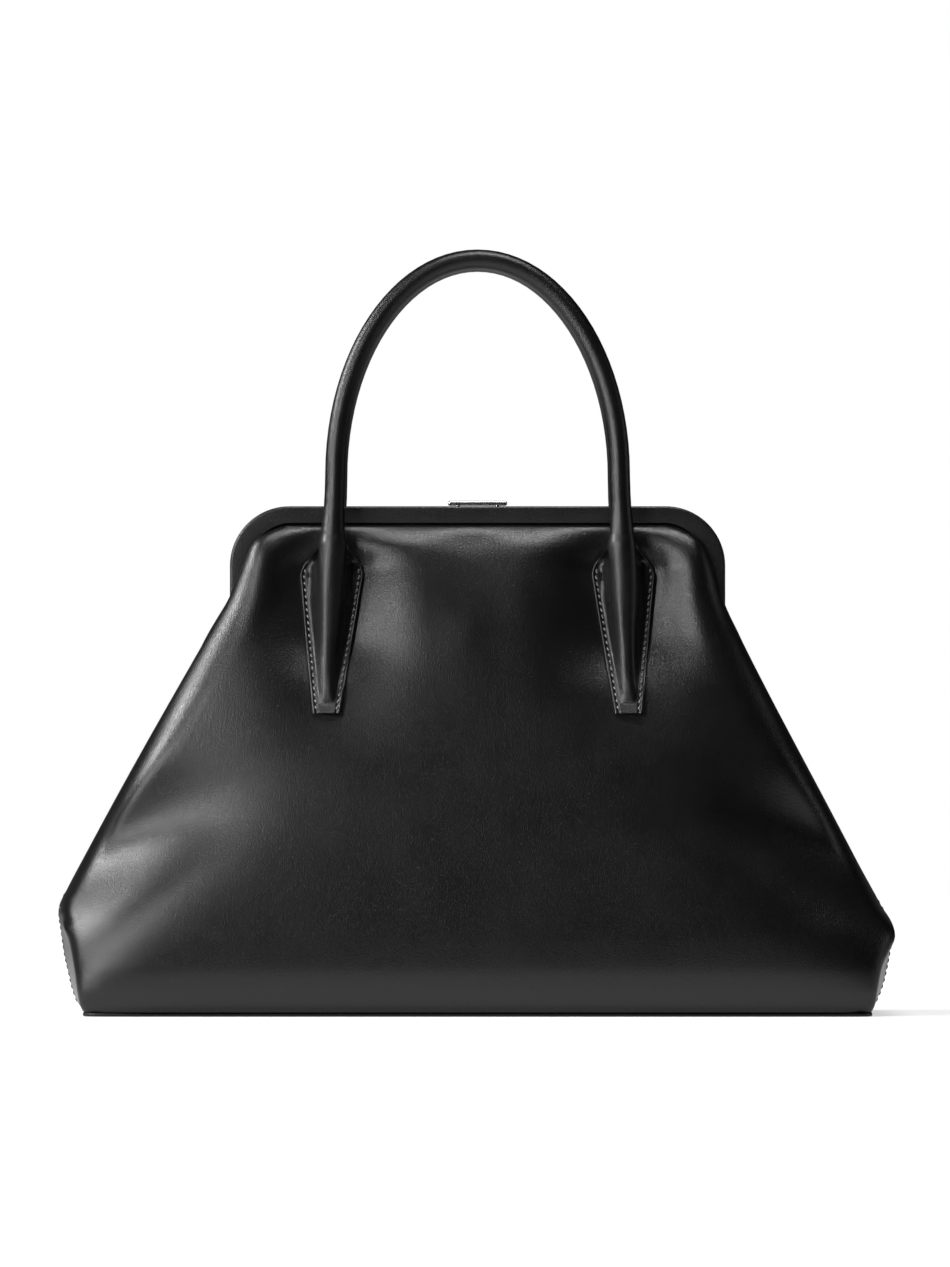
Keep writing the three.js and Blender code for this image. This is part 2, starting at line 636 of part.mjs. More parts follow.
function hingePin() {
  const dome = PIN_HEAD_EDGE;
  const pin = turned([
    [HEAD_IN - PIN_HEAD_THICK, 0], [HEAD_IN - PIN_HEAD_THICK, PIN_HEAD_RADIUS - dome],
    [HEAD_IN - PIN_HEAD_THICK + dome, PIN_HEAD_RADIUS], [HEAD_IN, PIN_HEAD_RADIUS], [HEAD_IN, PIN_RADIUS],
    [HEAD_OUT, PIN_RADIUS], [HEAD_OUT, PIN_HEAD_RADIUS], [HEAD_OUT + PIN_HEAD_THICK - dome, PIN_HEAD_RADIUS],
    [HEAD_OUT + PIN_HEAD_THICK, PIN_HEAD_RADIUS - dome], [HEAD_OUT + PIN_HEAD_THICK, 0],
  ], 10);
  return pin.translate(0, 0, HINGE_Z);
}

function hingeWasher(x) {
  const hole = PIN_RADIUS + SEAT_GAP;
  const ring = turned([
    [x, hole], [x, WASHER_RADIUS], [x + WASHER_THICK, WASHER_RADIUS], [x + WASHER_THICK, hole], [x, hole],
  ], 10);
  return ring.translate(0, 0, HINGE_Z);
}

// Clasp: a tongue on the front half enters the housing of the back half, where a sprung lip holds it. The
// stems of the push bar press the spring's ends down, which draws the lip out of the tongue's window.
const CORE_UNDERSIDE = FRAME_TOP - CORE_INNER;
const SLOT_TOP = TONGUE_Z + TONGUE_THICK + SLOT_GAP;
const WINDOW = { half: 3.6, low: 2.4, high: 3.8 };

function claspTongue() {
  const shape = new THREE.Shape();
  const base = CORE_UNDERSIDE - SEAT_GAP;
  const top = TONGUE_Z + TONGUE_THICK;
  shape.moveTo(-HOUSING_BACK, TONGUE_Z);
  shape.lineTo(TONGUE_REACH - TONGUE_TIP, TONGUE_Z);
  shape.lineTo(TONGUE_REACH, TONGUE_Z + TONGUE_THICK / 2);
  shape.lineTo(TONGUE_REACH - TONGUE_TIP, top);
  shape.lineTo(-CHANNEL_BACK - SEAT_GAP, top);
  shape.lineTo(-CHANNEL_BACK - SEAT_GAP, base);
  shape.lineTo(-HOUSING_BACK, base);
  const plate = new THREE.ExtrudeGeometry(shape, { depth: 2 * TONGUE_HALF, bevelEnabled: false });
  const turn = new THREE.Matrix4().makeBasis(
    new THREE.Vector3(0, 1, 0),
    new THREE.Vector3(0, 0, 1),
    new THREE.Vector3(1, 0, 0),
  );
  plate.applyMatrix4(turn).translate(-TONGUE_HALF, 0, 0);
  const window = box([-WINDOW.half, WINDOW.low, TONGUE_Z - 1], [WINDOW.half, WINDOW.high, top + 1]);
  return cut(plate, window);
}

function claspHousing() {
  const top = CORE_UNDERSIDE - SEAT_GAP;
  const block = box([-HOUSING_HALF, HOUSING_FRONT, HOUSING_FLOOR], [HOUSING_HALF, HOUSING_BACK, top]);
  const room = box(
    [-HOUSING_HALF + HOUSING_WALL, HOUSING_FRONT - 1, HOUSING_FLOOR + HOUSING_WALL],
    [HOUSING_HALF - HOUSING_WALL, HOUSING_BACK - HOUSING_WALL, top + 1],
  );
  return cut(block, room);
}

const LEAF_FOOT = HOUSING_FLOOR + HOUSING_WALL + SEAT_GAP;
const LEAF_CROWN = LEAF_FOOT + LEAF_RISE;
const LEAF_END = HOUSING_HALF - HOUSING_WALL - SLOT_GAP;

function latchSpring() {
  const shape = new THREE.Shape();
  shape.moveTo(-LEAF_END, LEAF_FOOT);
  shape.lineTo(-LEAF_FLAT, LEAF_CROWN);
  shape.lineTo(LEAF_FLAT, LEAF_CROWN);
  shape.lineTo(LEAF_END, LEAF_FOOT);
  shape.lineTo(LEAF_END, LEAF_FOOT + LEAF_THICK);
  shape.lineTo(LEAF_FLAT, LEAF_CROWN + LEAF_THICK);
  shape.lineTo(-LEAF_FLAT, LEAF_CROWN + LEAF_THICK);
  shape.lineTo(-LEAF_END, LEAF_FOOT + LEAF_THICK);
  const leaf = new THREE.ExtrudeGeometry(shape, { depth: LEAF_WIDTH, bevelEnabled: false });
  leaf.rotateX(Math.PI / 2).translate(0, LEAF_BACK, 0);
  const lip = box(
    [-WINDOW.half + SLOT_GAP, WINDOW.low + SEAT_GAP, LEAF_CROWN],
    [WINDOW.half - SLOT_GAP, WINDOW.high - SEAT_GAP, TONGUE_Z + TONGUE_THICK - SEAT_GAP],
  );
  return join(leaf, lip);
}

function claspBar() {
  const low = FRAME_TOP + BAR_LIFT;
  const edge = BAR_EDGE;
  const shape = new THREE.Shape();
  const halfX = BAR_LENGTH / 2 - edge;
  const halfY = BAR_DEPTH / 2 - edge;
  shape.moveTo(-halfX, -halfY);
  shape.lineTo(halfX, -halfY);
  shape.lineTo(halfX, halfY);
  shape.lineTo(-halfX, halfY);
  const plate = new THREE.ExtrudeGeometry(shape, {
    depth: BAR_THICK - 2 * edge,
    bevelEnabled: true,
    bevelSize: edge,
    bevelThickness: edge,
    bevelSegments: 2,
  });
  const middle = FRAME_SPLIT + FRAME_DEPTH / 2;
  plate.translate(0, middle, low + edge);
  const foot = LEAF_CROWN + LEAF_THICK;
  const stem = (x) => {
    const length = low + edge - foot;
    const post = new THREE.CylinderGeometry(STEM_RADIUS, STEM_RADIUS, length, 12);
    return post.rotateX(Math.PI / 2).translate(x, STEM_Y, foot + length / 2);
  };
  return join(plate, stem(-STEM_X), stem(STEM_X));
}

// Slots of the frame covers: the tongue's notch in both facing walls, and the push bar's recess on top
function tongueNotch(front) {
  const y = front ? -FRAME_SPLIT - COVER_WALL : FRAME_SPLIT;
  const side = TONGUE_HALF + SLOT_GAP;
  const over = SEAT_GAP / 2;
  const low = FRAME_TOP - FRAME_BAR_WIDTH - 1;
  return box([-side, y - over, low], [side, y + COVER_WALL + over, SLOT_TOP]);
}

function barRecess() {
  const middle = FRAME_SPLIT + FRAME_DEPTH / 2;
  const halfX = BAR_LENGTH / 2 + SEAT_GAP;
  const halfY = BAR_DEPTH / 2 + SEAT_GAP;
  const low = FRAME_TOP - CORE_OUTER + SEAT_GAP / 3;
  return box([-halfX, middle - halfY, low], [halfX, middle + halfY, FRAME_TOP + 1]);
}

function stemHole(x) {
  const hole = new THREE.CylinderGeometry(STEM_RADIUS + SEAT_GAP, STEM_RADIUS + SEAT_GAP, CORE_THICK + 2, 12);
  return hole.rotateX(Math.PI / 2).translate(x, STEM_Y, FRAME_TOP - CORE_OUTER - CORE_THICK / 2);
}

// Handle: an arch of rolled leather round a rope, upright legs and half an ellipse, leaning in to meet its pair
function handleStations() {
  const stations = [];
  const place = (x, z) => {
    const share = (z - HANDLE_FOOT_Z) / (HANDLE_TOP_Z - HANDLE_FOOT_Z);
    stations.push(new THREE.Vector3(x, -mix(HANDLE_FOOT_DEPTH, HANDLE_TOP_DEPTH, share), z));
  };
  const rise = HANDLE_SPRING_Z - HANDLE_FOOT_Z;
  const arch = HANDLE_TOP_Z - HANDLE_SPRING_Z;
  const legs = [0, 0.1, 0.22, 0.37, 0.64].map((share) => HANDLE_FOOT_Z + share * rise);
  const legX = (z) => mix(HANDLE_FOOT_X, HANDLE_HALF, ease((z - HANDLE_FOOT_Z) / rise));
  const steps = 16;
  legs.forEach((z) => place(-legX(z), z));
  for (let k = 0; k <= steps; k += 1) {
    const angle = Math.PI * (1 - k / steps);
    place(HANDLE_HALF * Math.cos(angle), HANDLE_SPRING_Z + arch * Math.sin(angle));
  }
  [...legs].reverse().forEach((z) => place(legX(z), z));
  return stations;
}

const handleRadius = (z) => mix(
  HANDLE_FOOT_RADIUS,
  HANDLE_RADIUS,
  ease((z - HANDLE_FOOT_Z + HANDLE_FLARE * 0.15) / HANDLE_FLARE),
);

function handleRings(inset, sides) {
  const path = handleStations();
  const lean = (HANDLE_FOOT_DEPTH - HANDLE_TOP_DEPTH) / (HANDLE_TOP_Z - HANDLE_FOOT_Z);
  const across = new THREE.Vector3(0, 1, -lean).normalize();
  return path.map((p, k) => {
    const ahead = path[Math.min(k + 1, path.length - 1)];
    const behind = path[Math.max(k - 1, 0)];
    const forward = ahead.clone().sub(behind).normalize();
    const outward = new THREE.Vector3().crossVectors(forward, across);
    const radius = handleRadius(p.z) - inset;
    const ring = [];
    for (let i = 0; i < sides; i += 1) {
      const angle = (2 * Math.PI * i) / sides;
      const point = p.clone().addScaledVector(outward, radius * Math.cos(angle));
      ring.push(point.addScaledVector(across, -radius * Math.sin(angle)));
    }
    return ring;
  });
}

function circle(sides) {
  const points = [];
  for (let i = 0; i < sides; i += 1) {
    const angle = (2 * Math.PI * i) / sides;
    points.push(new THREE.Vector2(Math.cos(angle), Math.sin(angle)));
  }
  return points;
}

function handleCover() {
  const sides = 10;
  const outside = handleRings(0, sides);
  const inside = handleRings(HANDLE_WALL, sides);
  const count = outside.length * sides;
  const points = [...outside.flat(), ...inside.flat()];
  const faces = [];
  for (let i = 0; i < sides; i += 1) {
    const next = (i + 1) % sides;
    for (let k = 0; k + 1 < outside.length; k += 1) {
      const quad = [k * sides + i, k * sides + next, (k + 1) * sides + next, (k + 1) * sides + i];
      const [a, b, c, d] = quad;
      faces.push(quad);
      faces.push([a + count, d + count, c + count, b + count]);
    }
    const end = (outside.length - 1) * sides;
    faces.push([next, i, i + count, next + count]);
    faces.push([end + i, end + next, end + next + count, end + i + count]);
  }
  return solid(points, faces);
}

function handleCore() {
  const sides = 6;
  return loft(handleRings(HANDLE_WALL + SEAT_GAP, sides), circle(sides));
}

// Tab at the foot of a handle: a stitched leather shield with a padded spine that runs out towards its end
function handleTab() {
  const rows = TAB_ROWS;
  const shares = TAB_SHARES;
  const halfAt = (z) => (z < TAB_SHOULDER_Z
    ? mix(TAB_BOTTOM_HALF, TAB_SHOULDER_HALF, (z - TAB_BOTTOM_Z) / (TAB_SHOULDER_Z - TAB_BOTTOM_Z))
    : mix(TAB_SHOULDER_HALF, TAB_TOP_HALF, (z - TAB_SHOULDER_Z) / (TAB_TOP_Z - TAB_SHOULDER_Z)));
  const back = [];
  const front = [];
  rows.forEach((z) => {
    const middle = mix(TAB_BOTTOM_X, TAB_TOP_X, (z - TAB_BOTTOM_Z) / (TAB_TOP_Z - TAB_BOTTOM_Z));
    const grow = ease((z - SPINE_TIP_Z) / (TAB_TOP_Z - SPINE_TIP_Z) * 1.05);
    const half = halfAt(z);
    const spine = Math.min(half * 0.92, SPINE_HALF * (0.35 + 0.65 * grow));
    shares.forEach((s) => {
      const outer = Math.abs(s) > 0.9;
      const offset = outer ? s * half : (s / SPINE_EDGE) * Math.min(spine, half * 0.95);
      const round = outer ? 0 : Math.sqrt(Math.max(0, 1 - (s / SPINE_EDGE) ** 2));
      const x = middle + offset;
      const seat = panelDepth(x, z) + PANEL_THICK / 2 + SEAT_GAP + TAB_LIFT;
      back.push(new THREE.Vector3(x, -seat, z));
      front.push(new THREE.Vector3(x, -seat - TAB_THICK - SPINE_RISE * grow * round, z));
    });
  });
  const wide = shares.length;
  const count = back.length;
  const faces = [];
  for (let j = 0; j + 1 < rows.length; j += 1) {
    for (let i = 0; i + 1 < wide; i += 1) {
      const a = j * wide + i;
      faces.push([a, a + 1, a + wide + 1, a + wide]);
      faces.push([a + count, a + count + wide, a + count + wide + 1, a + count + 1]);
    }
    const left = j * wide;
    const right = left + wide - 1;
    faces.push([left, left + wide, left + wide + count, left + count]);
    faces.push([right + wide, right, right + count, right + wide + count]);
  }
  const topRow = (rows.length - 1) * wide;
  for (let i = 0; i + 1 < wide; i += 1) {
    faces.push([i + 1, i, i + count, i + 1 + count]);
    faces.push([topRow + i, topRow + i + 1, topRow + i + 1 + count, topRow + i + count]);
  }
  return solid([...front, ...back], faces);
}

// Materials
const leather = (color, roughness) => new THREE.MeshStandardMaterial({ color, roughness, metalness: 0 });
const metal = (color, roughness) => new THREE.MeshStandardMaterial({ color, roughness, metalness: 1 });
const calf = () => leather(0x141414, 0.42);
const grained = () => leather(0x1a1a1a, 0.55);
const suede = () => leather(0x2a2624, 0.95);
const steel = () => metal(0x8d8f92, 0.4);
const chrome = () => metal(0xd6d6d6, 0.15);
const rope = () => leather(0xc9b99a, 0.9);

const bag = new THREE.Group();

function add(name, geometry, material) {
  const mesh = new THREE.Mesh(geometry, material);
  mesh.name = name;
  bag.add(mesh);
}

const tabGeometry = handleTab();
const tabLeft = mirrored(tabGeometry, 'x');
const coverGeometry = frameSweep(coverProfile, FRAME_LEG_END);
const handleCoverGeometry = handleCover();
const handleCoreGeometry = handleCore();

const boardLow = BASE_THICK + SEAT_GAP;
const baseLiningLow = boardLow + BOARD_THICK + SEAT_GAP;
add('base_panel', basePlate(0, 0, BASE_THICK), calf());
add('base_board', basePlate(BOARD_INSET, boardLow, BOARD_THICK), leather(0x4a3d2f, 0.9));
add('base_lining', basePlate(BASE_LINING_INSET, baseLiningLow, LINING_THICK), suede());
add('front_panel', panelGeometry, calf());
add('back_panel', mirrored(panelGeometry, 'y'), calf());
add('front_lining', liningGeometry, suede());
add('back_lining', mirrored(liningGeometry, 'y'), suede());
add('inner_pocket', mirrored(pocketSheet(), 'y'), suede());

add('front_frame_cover', cut(coverGeometry, tongueNotch(true)), grained());
add('back_frame_cover', cut(mirrored(coverGeometry, 'y'), tongueNotch(false), barRecess()), grained());
add('front_frame_core', frameCore(false), steel());
add('back_frame_core', cut(mirrored(frameCore(true), 'y'), stemHole(-STEM_X), stemHole(STEM_X)), steel());
add('left_hinge_pin', mirrored(hingePin(), 'x'), steel());
add('right_hinge_pin', hingePin(), steel());
add('left_inner_washer', mirrored(hingeWasher(WASHER_IN), 'x'), steel());
add('left_outer_washer', mirrored(hingeWasher(WASHER_OUT), 'x'), steel());
add('right_inner_washer', hingeWasher(WASHER_IN), steel());
add('right_outer_washer', hingeWasher(WASHER_OUT), steel());

add('clasp_tongue', claspTongue(), steel());
add('clasp_housing', claspHousing(), steel());
add('latch_spring', latchSpring(), steel());
add('clasp_bar', claspBar(), chrome());

add('front_left_tab', tabLeft, calf());
add('front_right_tab', tabGeometry, calf());
add('back_left_tab', mirrored(tabLeft, 'y'), calf());
add('back_right_tab', mirrored(tabGeometry, 'y'), calf());
add('front_handle_cover', handleCoverGeometry, calf());
add('back_handle_cover', mirrored(handleCoverGeometry, 'y'), calf());
add('front_handle_core', handleCoreGeometry, rope());
add('back_handle_core', mirrored(handleCoreGeometry, 'y'), rope());

export default bag;
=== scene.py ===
import math

import bpy
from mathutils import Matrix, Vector, noise


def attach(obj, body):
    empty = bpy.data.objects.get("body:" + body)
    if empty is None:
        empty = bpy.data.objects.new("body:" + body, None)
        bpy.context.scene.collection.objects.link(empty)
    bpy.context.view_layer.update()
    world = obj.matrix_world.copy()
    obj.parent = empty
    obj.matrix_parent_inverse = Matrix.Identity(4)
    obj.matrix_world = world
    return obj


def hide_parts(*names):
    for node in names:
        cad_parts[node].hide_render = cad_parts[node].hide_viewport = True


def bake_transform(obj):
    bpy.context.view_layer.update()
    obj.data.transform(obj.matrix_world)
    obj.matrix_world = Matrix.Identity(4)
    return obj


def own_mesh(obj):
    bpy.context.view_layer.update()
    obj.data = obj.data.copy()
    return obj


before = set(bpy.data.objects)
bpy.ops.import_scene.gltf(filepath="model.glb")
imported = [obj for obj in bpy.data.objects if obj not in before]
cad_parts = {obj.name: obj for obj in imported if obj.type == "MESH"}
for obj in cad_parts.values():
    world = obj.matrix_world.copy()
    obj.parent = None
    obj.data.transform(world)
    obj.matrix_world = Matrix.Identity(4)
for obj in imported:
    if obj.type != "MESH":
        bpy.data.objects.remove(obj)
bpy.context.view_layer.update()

# All sizes below are in millimetres and become metres with MM.
MM = 0.001

# Frame of the bag: two U-shaped halves that meet at y = 0 and turn on pins at the ends of their legs
FRAME_TOP = 256.0
FRAME_HALF = 125.0
FRAME_CORNER = 30.0
FRAME_SPLIT = 0.3
FRAME_FRONT = 11.3
FRAME_BAR = 8.6
FRAME_LEG = 11.0
LEG_END = 203.0
COVER_WALL = 1.4
HINGE_Z = 196.0
CORE_INNER = 4.7

# Leather and thread
PANEL_THICK = 2.0
LINING_THICK = 0.8
TAB_THICK = 2.6
SEAT_GAP = 0.3
STITCH_PITCH = 3.3
STITCH_LONG = 2.3

# Handles
HANDLE_HALF = 71.5
HANDLE_FOOT_X = 72.6
HANDLE_SPRING_Z = 272.0
HANDLE_TOP_Z = 381.0
HANDLE_FOOT_Z = 238.6
HANDLE_FOOT_DEPTH = 27.4
HANDLE_TOP_DEPTH = 6.3
HANDLE_RADIUS = 5.2
HANDLE_ENDS_Z = 237.6
ROPE_ENDS_Z = 239.0
ROPE_INSET = 1.5
TAB_TOP_Z = 241.0
TAB_BOTTOM_Z = 151.0
TAB_TILT = 0.17
TAB_RIM = 0.9
STITCH_INSET = 2.1
TAB_FIRST_STITCH, TAB_STITCHES = 153.6, 22
SEAM_FIRST_STITCH, SEAM_STITCHES = 7, 46

# Clasp: the bar on two stems over a bent leaf with a lip
BAR_SIZE = (30.0, 7.0, 2.3)
BAR_PLACE = (0, 5.8, 258.15)
STEM_PLACES = ((-10, 4, 253.1), (10, 4, 253.1))
STEM_LENGTH = 8.8
LEAF_BENDS = [(-12.9, 246.7), (-9, 247.5), (-8, 247.64), (-7, 247.7), (7, 247.7), (8, 247.64), (9, 247.5),
              (12.9, 246.7)]
LEAF_FRONT, LEAF_WIDTH, LEAF_THICK = 2.4, 2.6, 0.4
LIP_SIZE = (6.2, 0.8, 2.0)
LIP_PLACE = (0, 3.1, 248.5)

# The two halves of the bag, each with the way it faces
HALVES = (("front", 1), ("back", -1))

# Body profiles from the bottom edge up, as (height, value). The left side is a little fuller than the right.
BOTTOM_EDGE = 2.9
FOLD_TOP = 244.3
BELLY = [(0, 63.4), (6, 66.8), (14, 69.8), (24, 71), (36, 70.4), (52, 68.2), (100, 57.5), (150, 45), (190, 34.5),
         (212, 29), (226, 24.6), (235, 20.6), (241, 16.4), (FOLD_TOP, 13.2)]
FOLD_LEFT = [(0, 195.6), (12, 197.7), (24, 199.6), (37, 202.8), (46, 206.8), (52, 209.4), (56.5, 209),
             (62, 206.4), (77, 198.4), (199, 130.1), (209, 124.5), (226, 117.4), (237, 112.4), (241, 107),
             (FOLD_TOP, 97)]
FOLD_RIGHT = [(0, 195.6), (12, 197.4), (24, 200), (33, 204.4), (40, 207.4), (46, 206.6), (55, 202.2),
              (77, 190.2), (199, 126.8), (209, 122.6), (226, 117.4), (237, 112.4), (241, 107), (FOLD_TOP, 97)]
FOLD_DEPTH = [(0, 62), (48, 5), (56, 4.6), (75, 8), (93, 13), (110, 17.5), (125, 20), (140, 21.5), (160, 21),
              (185, 17.5), (203, 14.6), (226, 13.9), (237, 13.7), (FOLD_TOP, 13)]
FOLD_ROLL = [(0, 2), (25, 5), (50, 8), (93, 10), (125, 14), (150, 18), (190, 19), (212, 16), (226, 11), (237, 6),
             (FOLD_TOP, 1)]
CREASE_ROLL = [(0, 1), (12, 2), (25, 3.5), (45, 6.5), (60, 8)]
SHOULDER_X = [(0, 228), (12, 225), (24, 219), (37, 220), (50, 217), (62, 198), (75, 180), (93, 156), (110, 140),
              (125, 134), (140, 136), (160, 132), (190, 118), (212, 108), (226, 104), (FOLD_TOP, 97)]
SHOULDER_SPAN = [(0, 8), (12, 8), (24, 8.5), (37, 12), (50, 15), (62, 12), (75, 12), (93, 14), (110, 17),
                 (125, 18), (140, 15), (160, 12), (190, 10), (212, 9), (FOLD_TOP, 6)]
FLANGE = [(0, 0), (37, 0), (50, 3), (62, 8), (75, 14), (93, 26), (110, 38), (125, 41.5), (140, 38.5), (160, 34),
          (190, 27.5), (212, 23.2), (226, 20.6), (235, 18.4), (241, 15.4), (FOLD_TOP, 13.1)]
FULL_RIGHT = [(150, 0), (185, 0.8), (232, 0.8), (FOLD_TOP, 0.2)]
DROP_STEP_X, DROP_STEP_Z, DROP_HALF_COLUMNS, DROP_ROWS, SETTLE_PASSES = 5.5, 4.0, 40, 63, 28
TAB_VALLEY = [(125, 0), (160, 3.8), (190, 11), (222, 11.8), (236, 4.6), (FOLD_TOP, 0)]
TAB_VALLEY_HALF = 29.0
MIDDLE_DIP = [(195, 0), (218, 1), (236, 1.4), (FOLD_TOP, 0)]
MIDDLE_DIP_HALF = 16.0
SEAM_LEFT = [(0, 198.4), (3.5, 200.2), (13, 203.8), (22, 206), (31, 208), (43, 209.6), (52, 210.8), (57, 209.4),
             (75, 193), (100, 175), (150, 141), (170, 128), (185, 115), (191, 111.8), (HINGE_Z, 112.4),
             (200, 115.4), (203.6, 119.6)]
SEAM_RIGHT = [(0, 197.6), (3.5, 199), (13, 203.2), (22, 205.6), (31, 207.2), (39, 208.4), (44, 207.6),
              (75, 187), (100, 170), (150, 137), (170, 126), (185, 114.2), (191, 111.8), (HINGE_Z, 112.4),
              (200, 115.4), (203.6, 119.6)]
SEAM_DEPTH = [(0, 0.35), (40, 0.4), (50, 0.9), (75, 1.25), (188, 1.25), (HINGE_Z, 4), (200, 7), (203.6, 8.6)]
TAB_HALF = [(151, 7), (214, 15.1), (221, 15.9), (225.5, 14.7), (230, 11.2), (234, 7.9), (237, 7), (240, 6.5),
            (245, 5.9)]
VALLEY_START = 165.0

# Columns of the leather near a fold, as distances from it
NEAR_FOLD = [16, 12.5, 9.8, 7.5, 5.6, 4, 2.7, 1.7, 0.95, 0.4, 0.1, 0]


def along(profile, height):
    """Value of a profile at a height, with a smooth slope through its points."""
    if height <= profile[0][0]:
        return profile[0][1]
    if height >= profile[-1][0]:
        return profile[-1][1]
    k = 0
    while profile[k + 1][0] < height:
        k += 1

    def chord(i):
        return (profile[i + 1][1] - profile[i][1]) / (profile[i + 1][0] - profile[i][0])

    def slope(i):
        if i == 0 or i == len(profile) - 1:
            return chord(k)
        before, after = chord(i - 1), chord(i)
        return 0 if before * after <= 0 else 2 * before * after / (before + after)

    span = profile[k + 1][0] - profile[k][0]
    t = (height - profile[k][0]) / span
    rise = (2 * t - 3) * t * t
    bend = span * t * (1 - t) * (slope(k) * (1 - t) - slope(k + 1) * t)
    return profile[k][1] * (1 + rise) - profile[k + 1][1] * rise + bend


def mix(a, b, t):
    return a + (b - a) * t


def ease(t):
    t = min(1.0, max(0.0, t))
    return t * t * (3 - 2 * t)


# Shape of the body

def fold_half(side, z):
    """Half-width of the front between its side folds, on the left or right."""
    return along(FOLD_LEFT if side < 0 else FOLD_RIGHT, z)


def seam_half(side, z):
    """Distance of the side seam from the middle, on the left or right."""
    return along(SEAM_LEFT if side < 0 else SEAM_RIGHT, z)


def soft_wave(x, z):
    """Slow unevenness of stretched leather: strongest where it gathers under the frame."""
    gather = ease((z - 150) / 60) * ease((FOLD_TOP - z) / 9)
    wave = noise.noise(Vector((x / 46, z / 58, 3.7))) * 2.4
    ripple = noise.noise(Vector((x / 24, z / 90, 8.2))) * 0.8
    slack = noise.noise(Vector((x / 110, z / 80, 1.3))) * 0.35 * ease((z - 20) / 40)
    return gather * (wave + ripple) + slack


def shoulder_drop(x, z):
    """How far the front falls back over its shoulder, from nothing in the middle to the flange at the side."""
    line = along(SHOULDER_X, z) * (1 if x < 0 else along(FOLD_RIGHT, z) / along(FOLD_LEFT, z))
    span = along(SHOULDER_SPAN, z)
    middle = 1 / (1 + math.exp(line / span))
    share = (1 / (1 + math.exp((line - abs(x)) / span)) - middle) / (1 - middle)
    full = along(FULL_RIGHT, z) if x > 0 else 0
    return (along(BELLY, z) - along(FLANGE, z)) * share * (1 - full)


def settled_drops():
    """The shoulder on a grid of places, eased as leather settles into one soft curve."""
    wide = 2 * DROP_HALF_COLUMNS
    grid = [[shoulder_drop((i - DROP_HALF_COLUMNS) * DROP_STEP_X, j * DROP_STEP_Z) for i in range(wide + 1)]
            for j in range(DROP_ROWS)]
    for _ in range(SETTLE_PASSES):
        grid = [[grid[j][i] / 2 + (grid[j][max(0, i - 1)] + grid[j][min(wide, i + 1)]
                                   + grid[max(0, j - 1)][i] + grid[min(DROP_ROWS - 1, j + 1)][i]) / 8
                 for i in range(wide + 1)] for j in range(DROP_ROWS)]
    return grid


DROPS = settled_drops()


def swell_depth(x, z):
    """Depth of the swelling front before its edges are rolled, read smoothly between the grid's places."""
    at_x = x / DROP_STEP_X + DROP_HALF_COLUMNS
    at_z = z / DROP_STEP_Z
    i = min(max(int(at_x), 1), 2 * DROP_HALF_COLUMNS - 2)
    j = min(max(int(at_z), 1), DROP_ROWS - 3)

    def curve(a, b, c, d, t):
        return b + t / 2 * (c - a + t * (2 * a - 5 * b + 4 * c - d + t * (3 * b - a - 3 * c + d)))

    rows = [curve(*DROPS[j + k][i - 1:i + 3], at_x - i) for k in (-1, 0, 1, 2)]
    return along(BELLY, z) - curve(*rows, at_z - j)


def fold_depth(side, z):
    """Depth of the side fold: a soft crease below the widest place, a pinched fold above it."""
    crease = swell_depth(side * fold_half(side, z), z) - along(CREASE_ROLL, z)
    return mix(crease, along(FOLD_DEPTH, z), ease((z - 42) / 12))


def panel_depth(x, z):
    """Depth of the leather's middle surface in front of y = 0, at a place on the front."""
    side = -1 if x < 0 else 1
    half = fold_half(side, z)
    inside = max(0.0, half - abs(x))
    short = 1 - min(1.0, inside / along(FOLD_ROLL, z))
    roll = max(0.0, swell_depth(side * half, z) - fold_depth(side, z))
    rolled_off = roll * (1 - math.sqrt(max(0.0, 1 - short * short)))
    from_tab = (abs(x) - HANDLE_FOOT_X) / TAB_VALLEY_HALF
    valley = along(TAB_VALLEY, z) * math.exp(-from_tab * from_tab)
    valley += along(MIDDLE_DIP, z) * math.exp(-(x / MIDDLE_DIP_HALF) ** 2)
    calm = ease((inside - 2) / 25)
    return swell_depth(x, z) - rolled_off + (soft_wave(x, z) - valley) * calm


def frame_edge(x, z, angle):
    """Place on the frame's outer edge and the way in from it, on the right half."""
    if angle <= 0:
        return Vector((FRAME_HALF, 0, z)), Vector((-1, 0, 0))
    if angle >= math.pi / 2:
        return Vector((x, 0, FRAME_TOP)), Vector((0, 0, -1))
    way = Vector((math.cos(angle), 0, math.sin(angle)))
    corner = Vector((FRAME_HALF - FRAME_CORNER, 0, FRAME_TOP - FRAME_CORNER))
    return corner + way * FRAME_CORNER, -way


def frame_width(angle):
    return mix(FRAME_LEG, FRAME_BAR, max(0.0, min(1.0, angle / (math.pi / 2))))


def row_angle(z):
    """Angle round the frame's corner that a row of the body meets."""
    bend = FRAME_TOP - FRAME_CORNER
    return 0 if z <= bend else 1.36 * ((z - bend) / (FOLD_TOP - bend)) ** 1.25


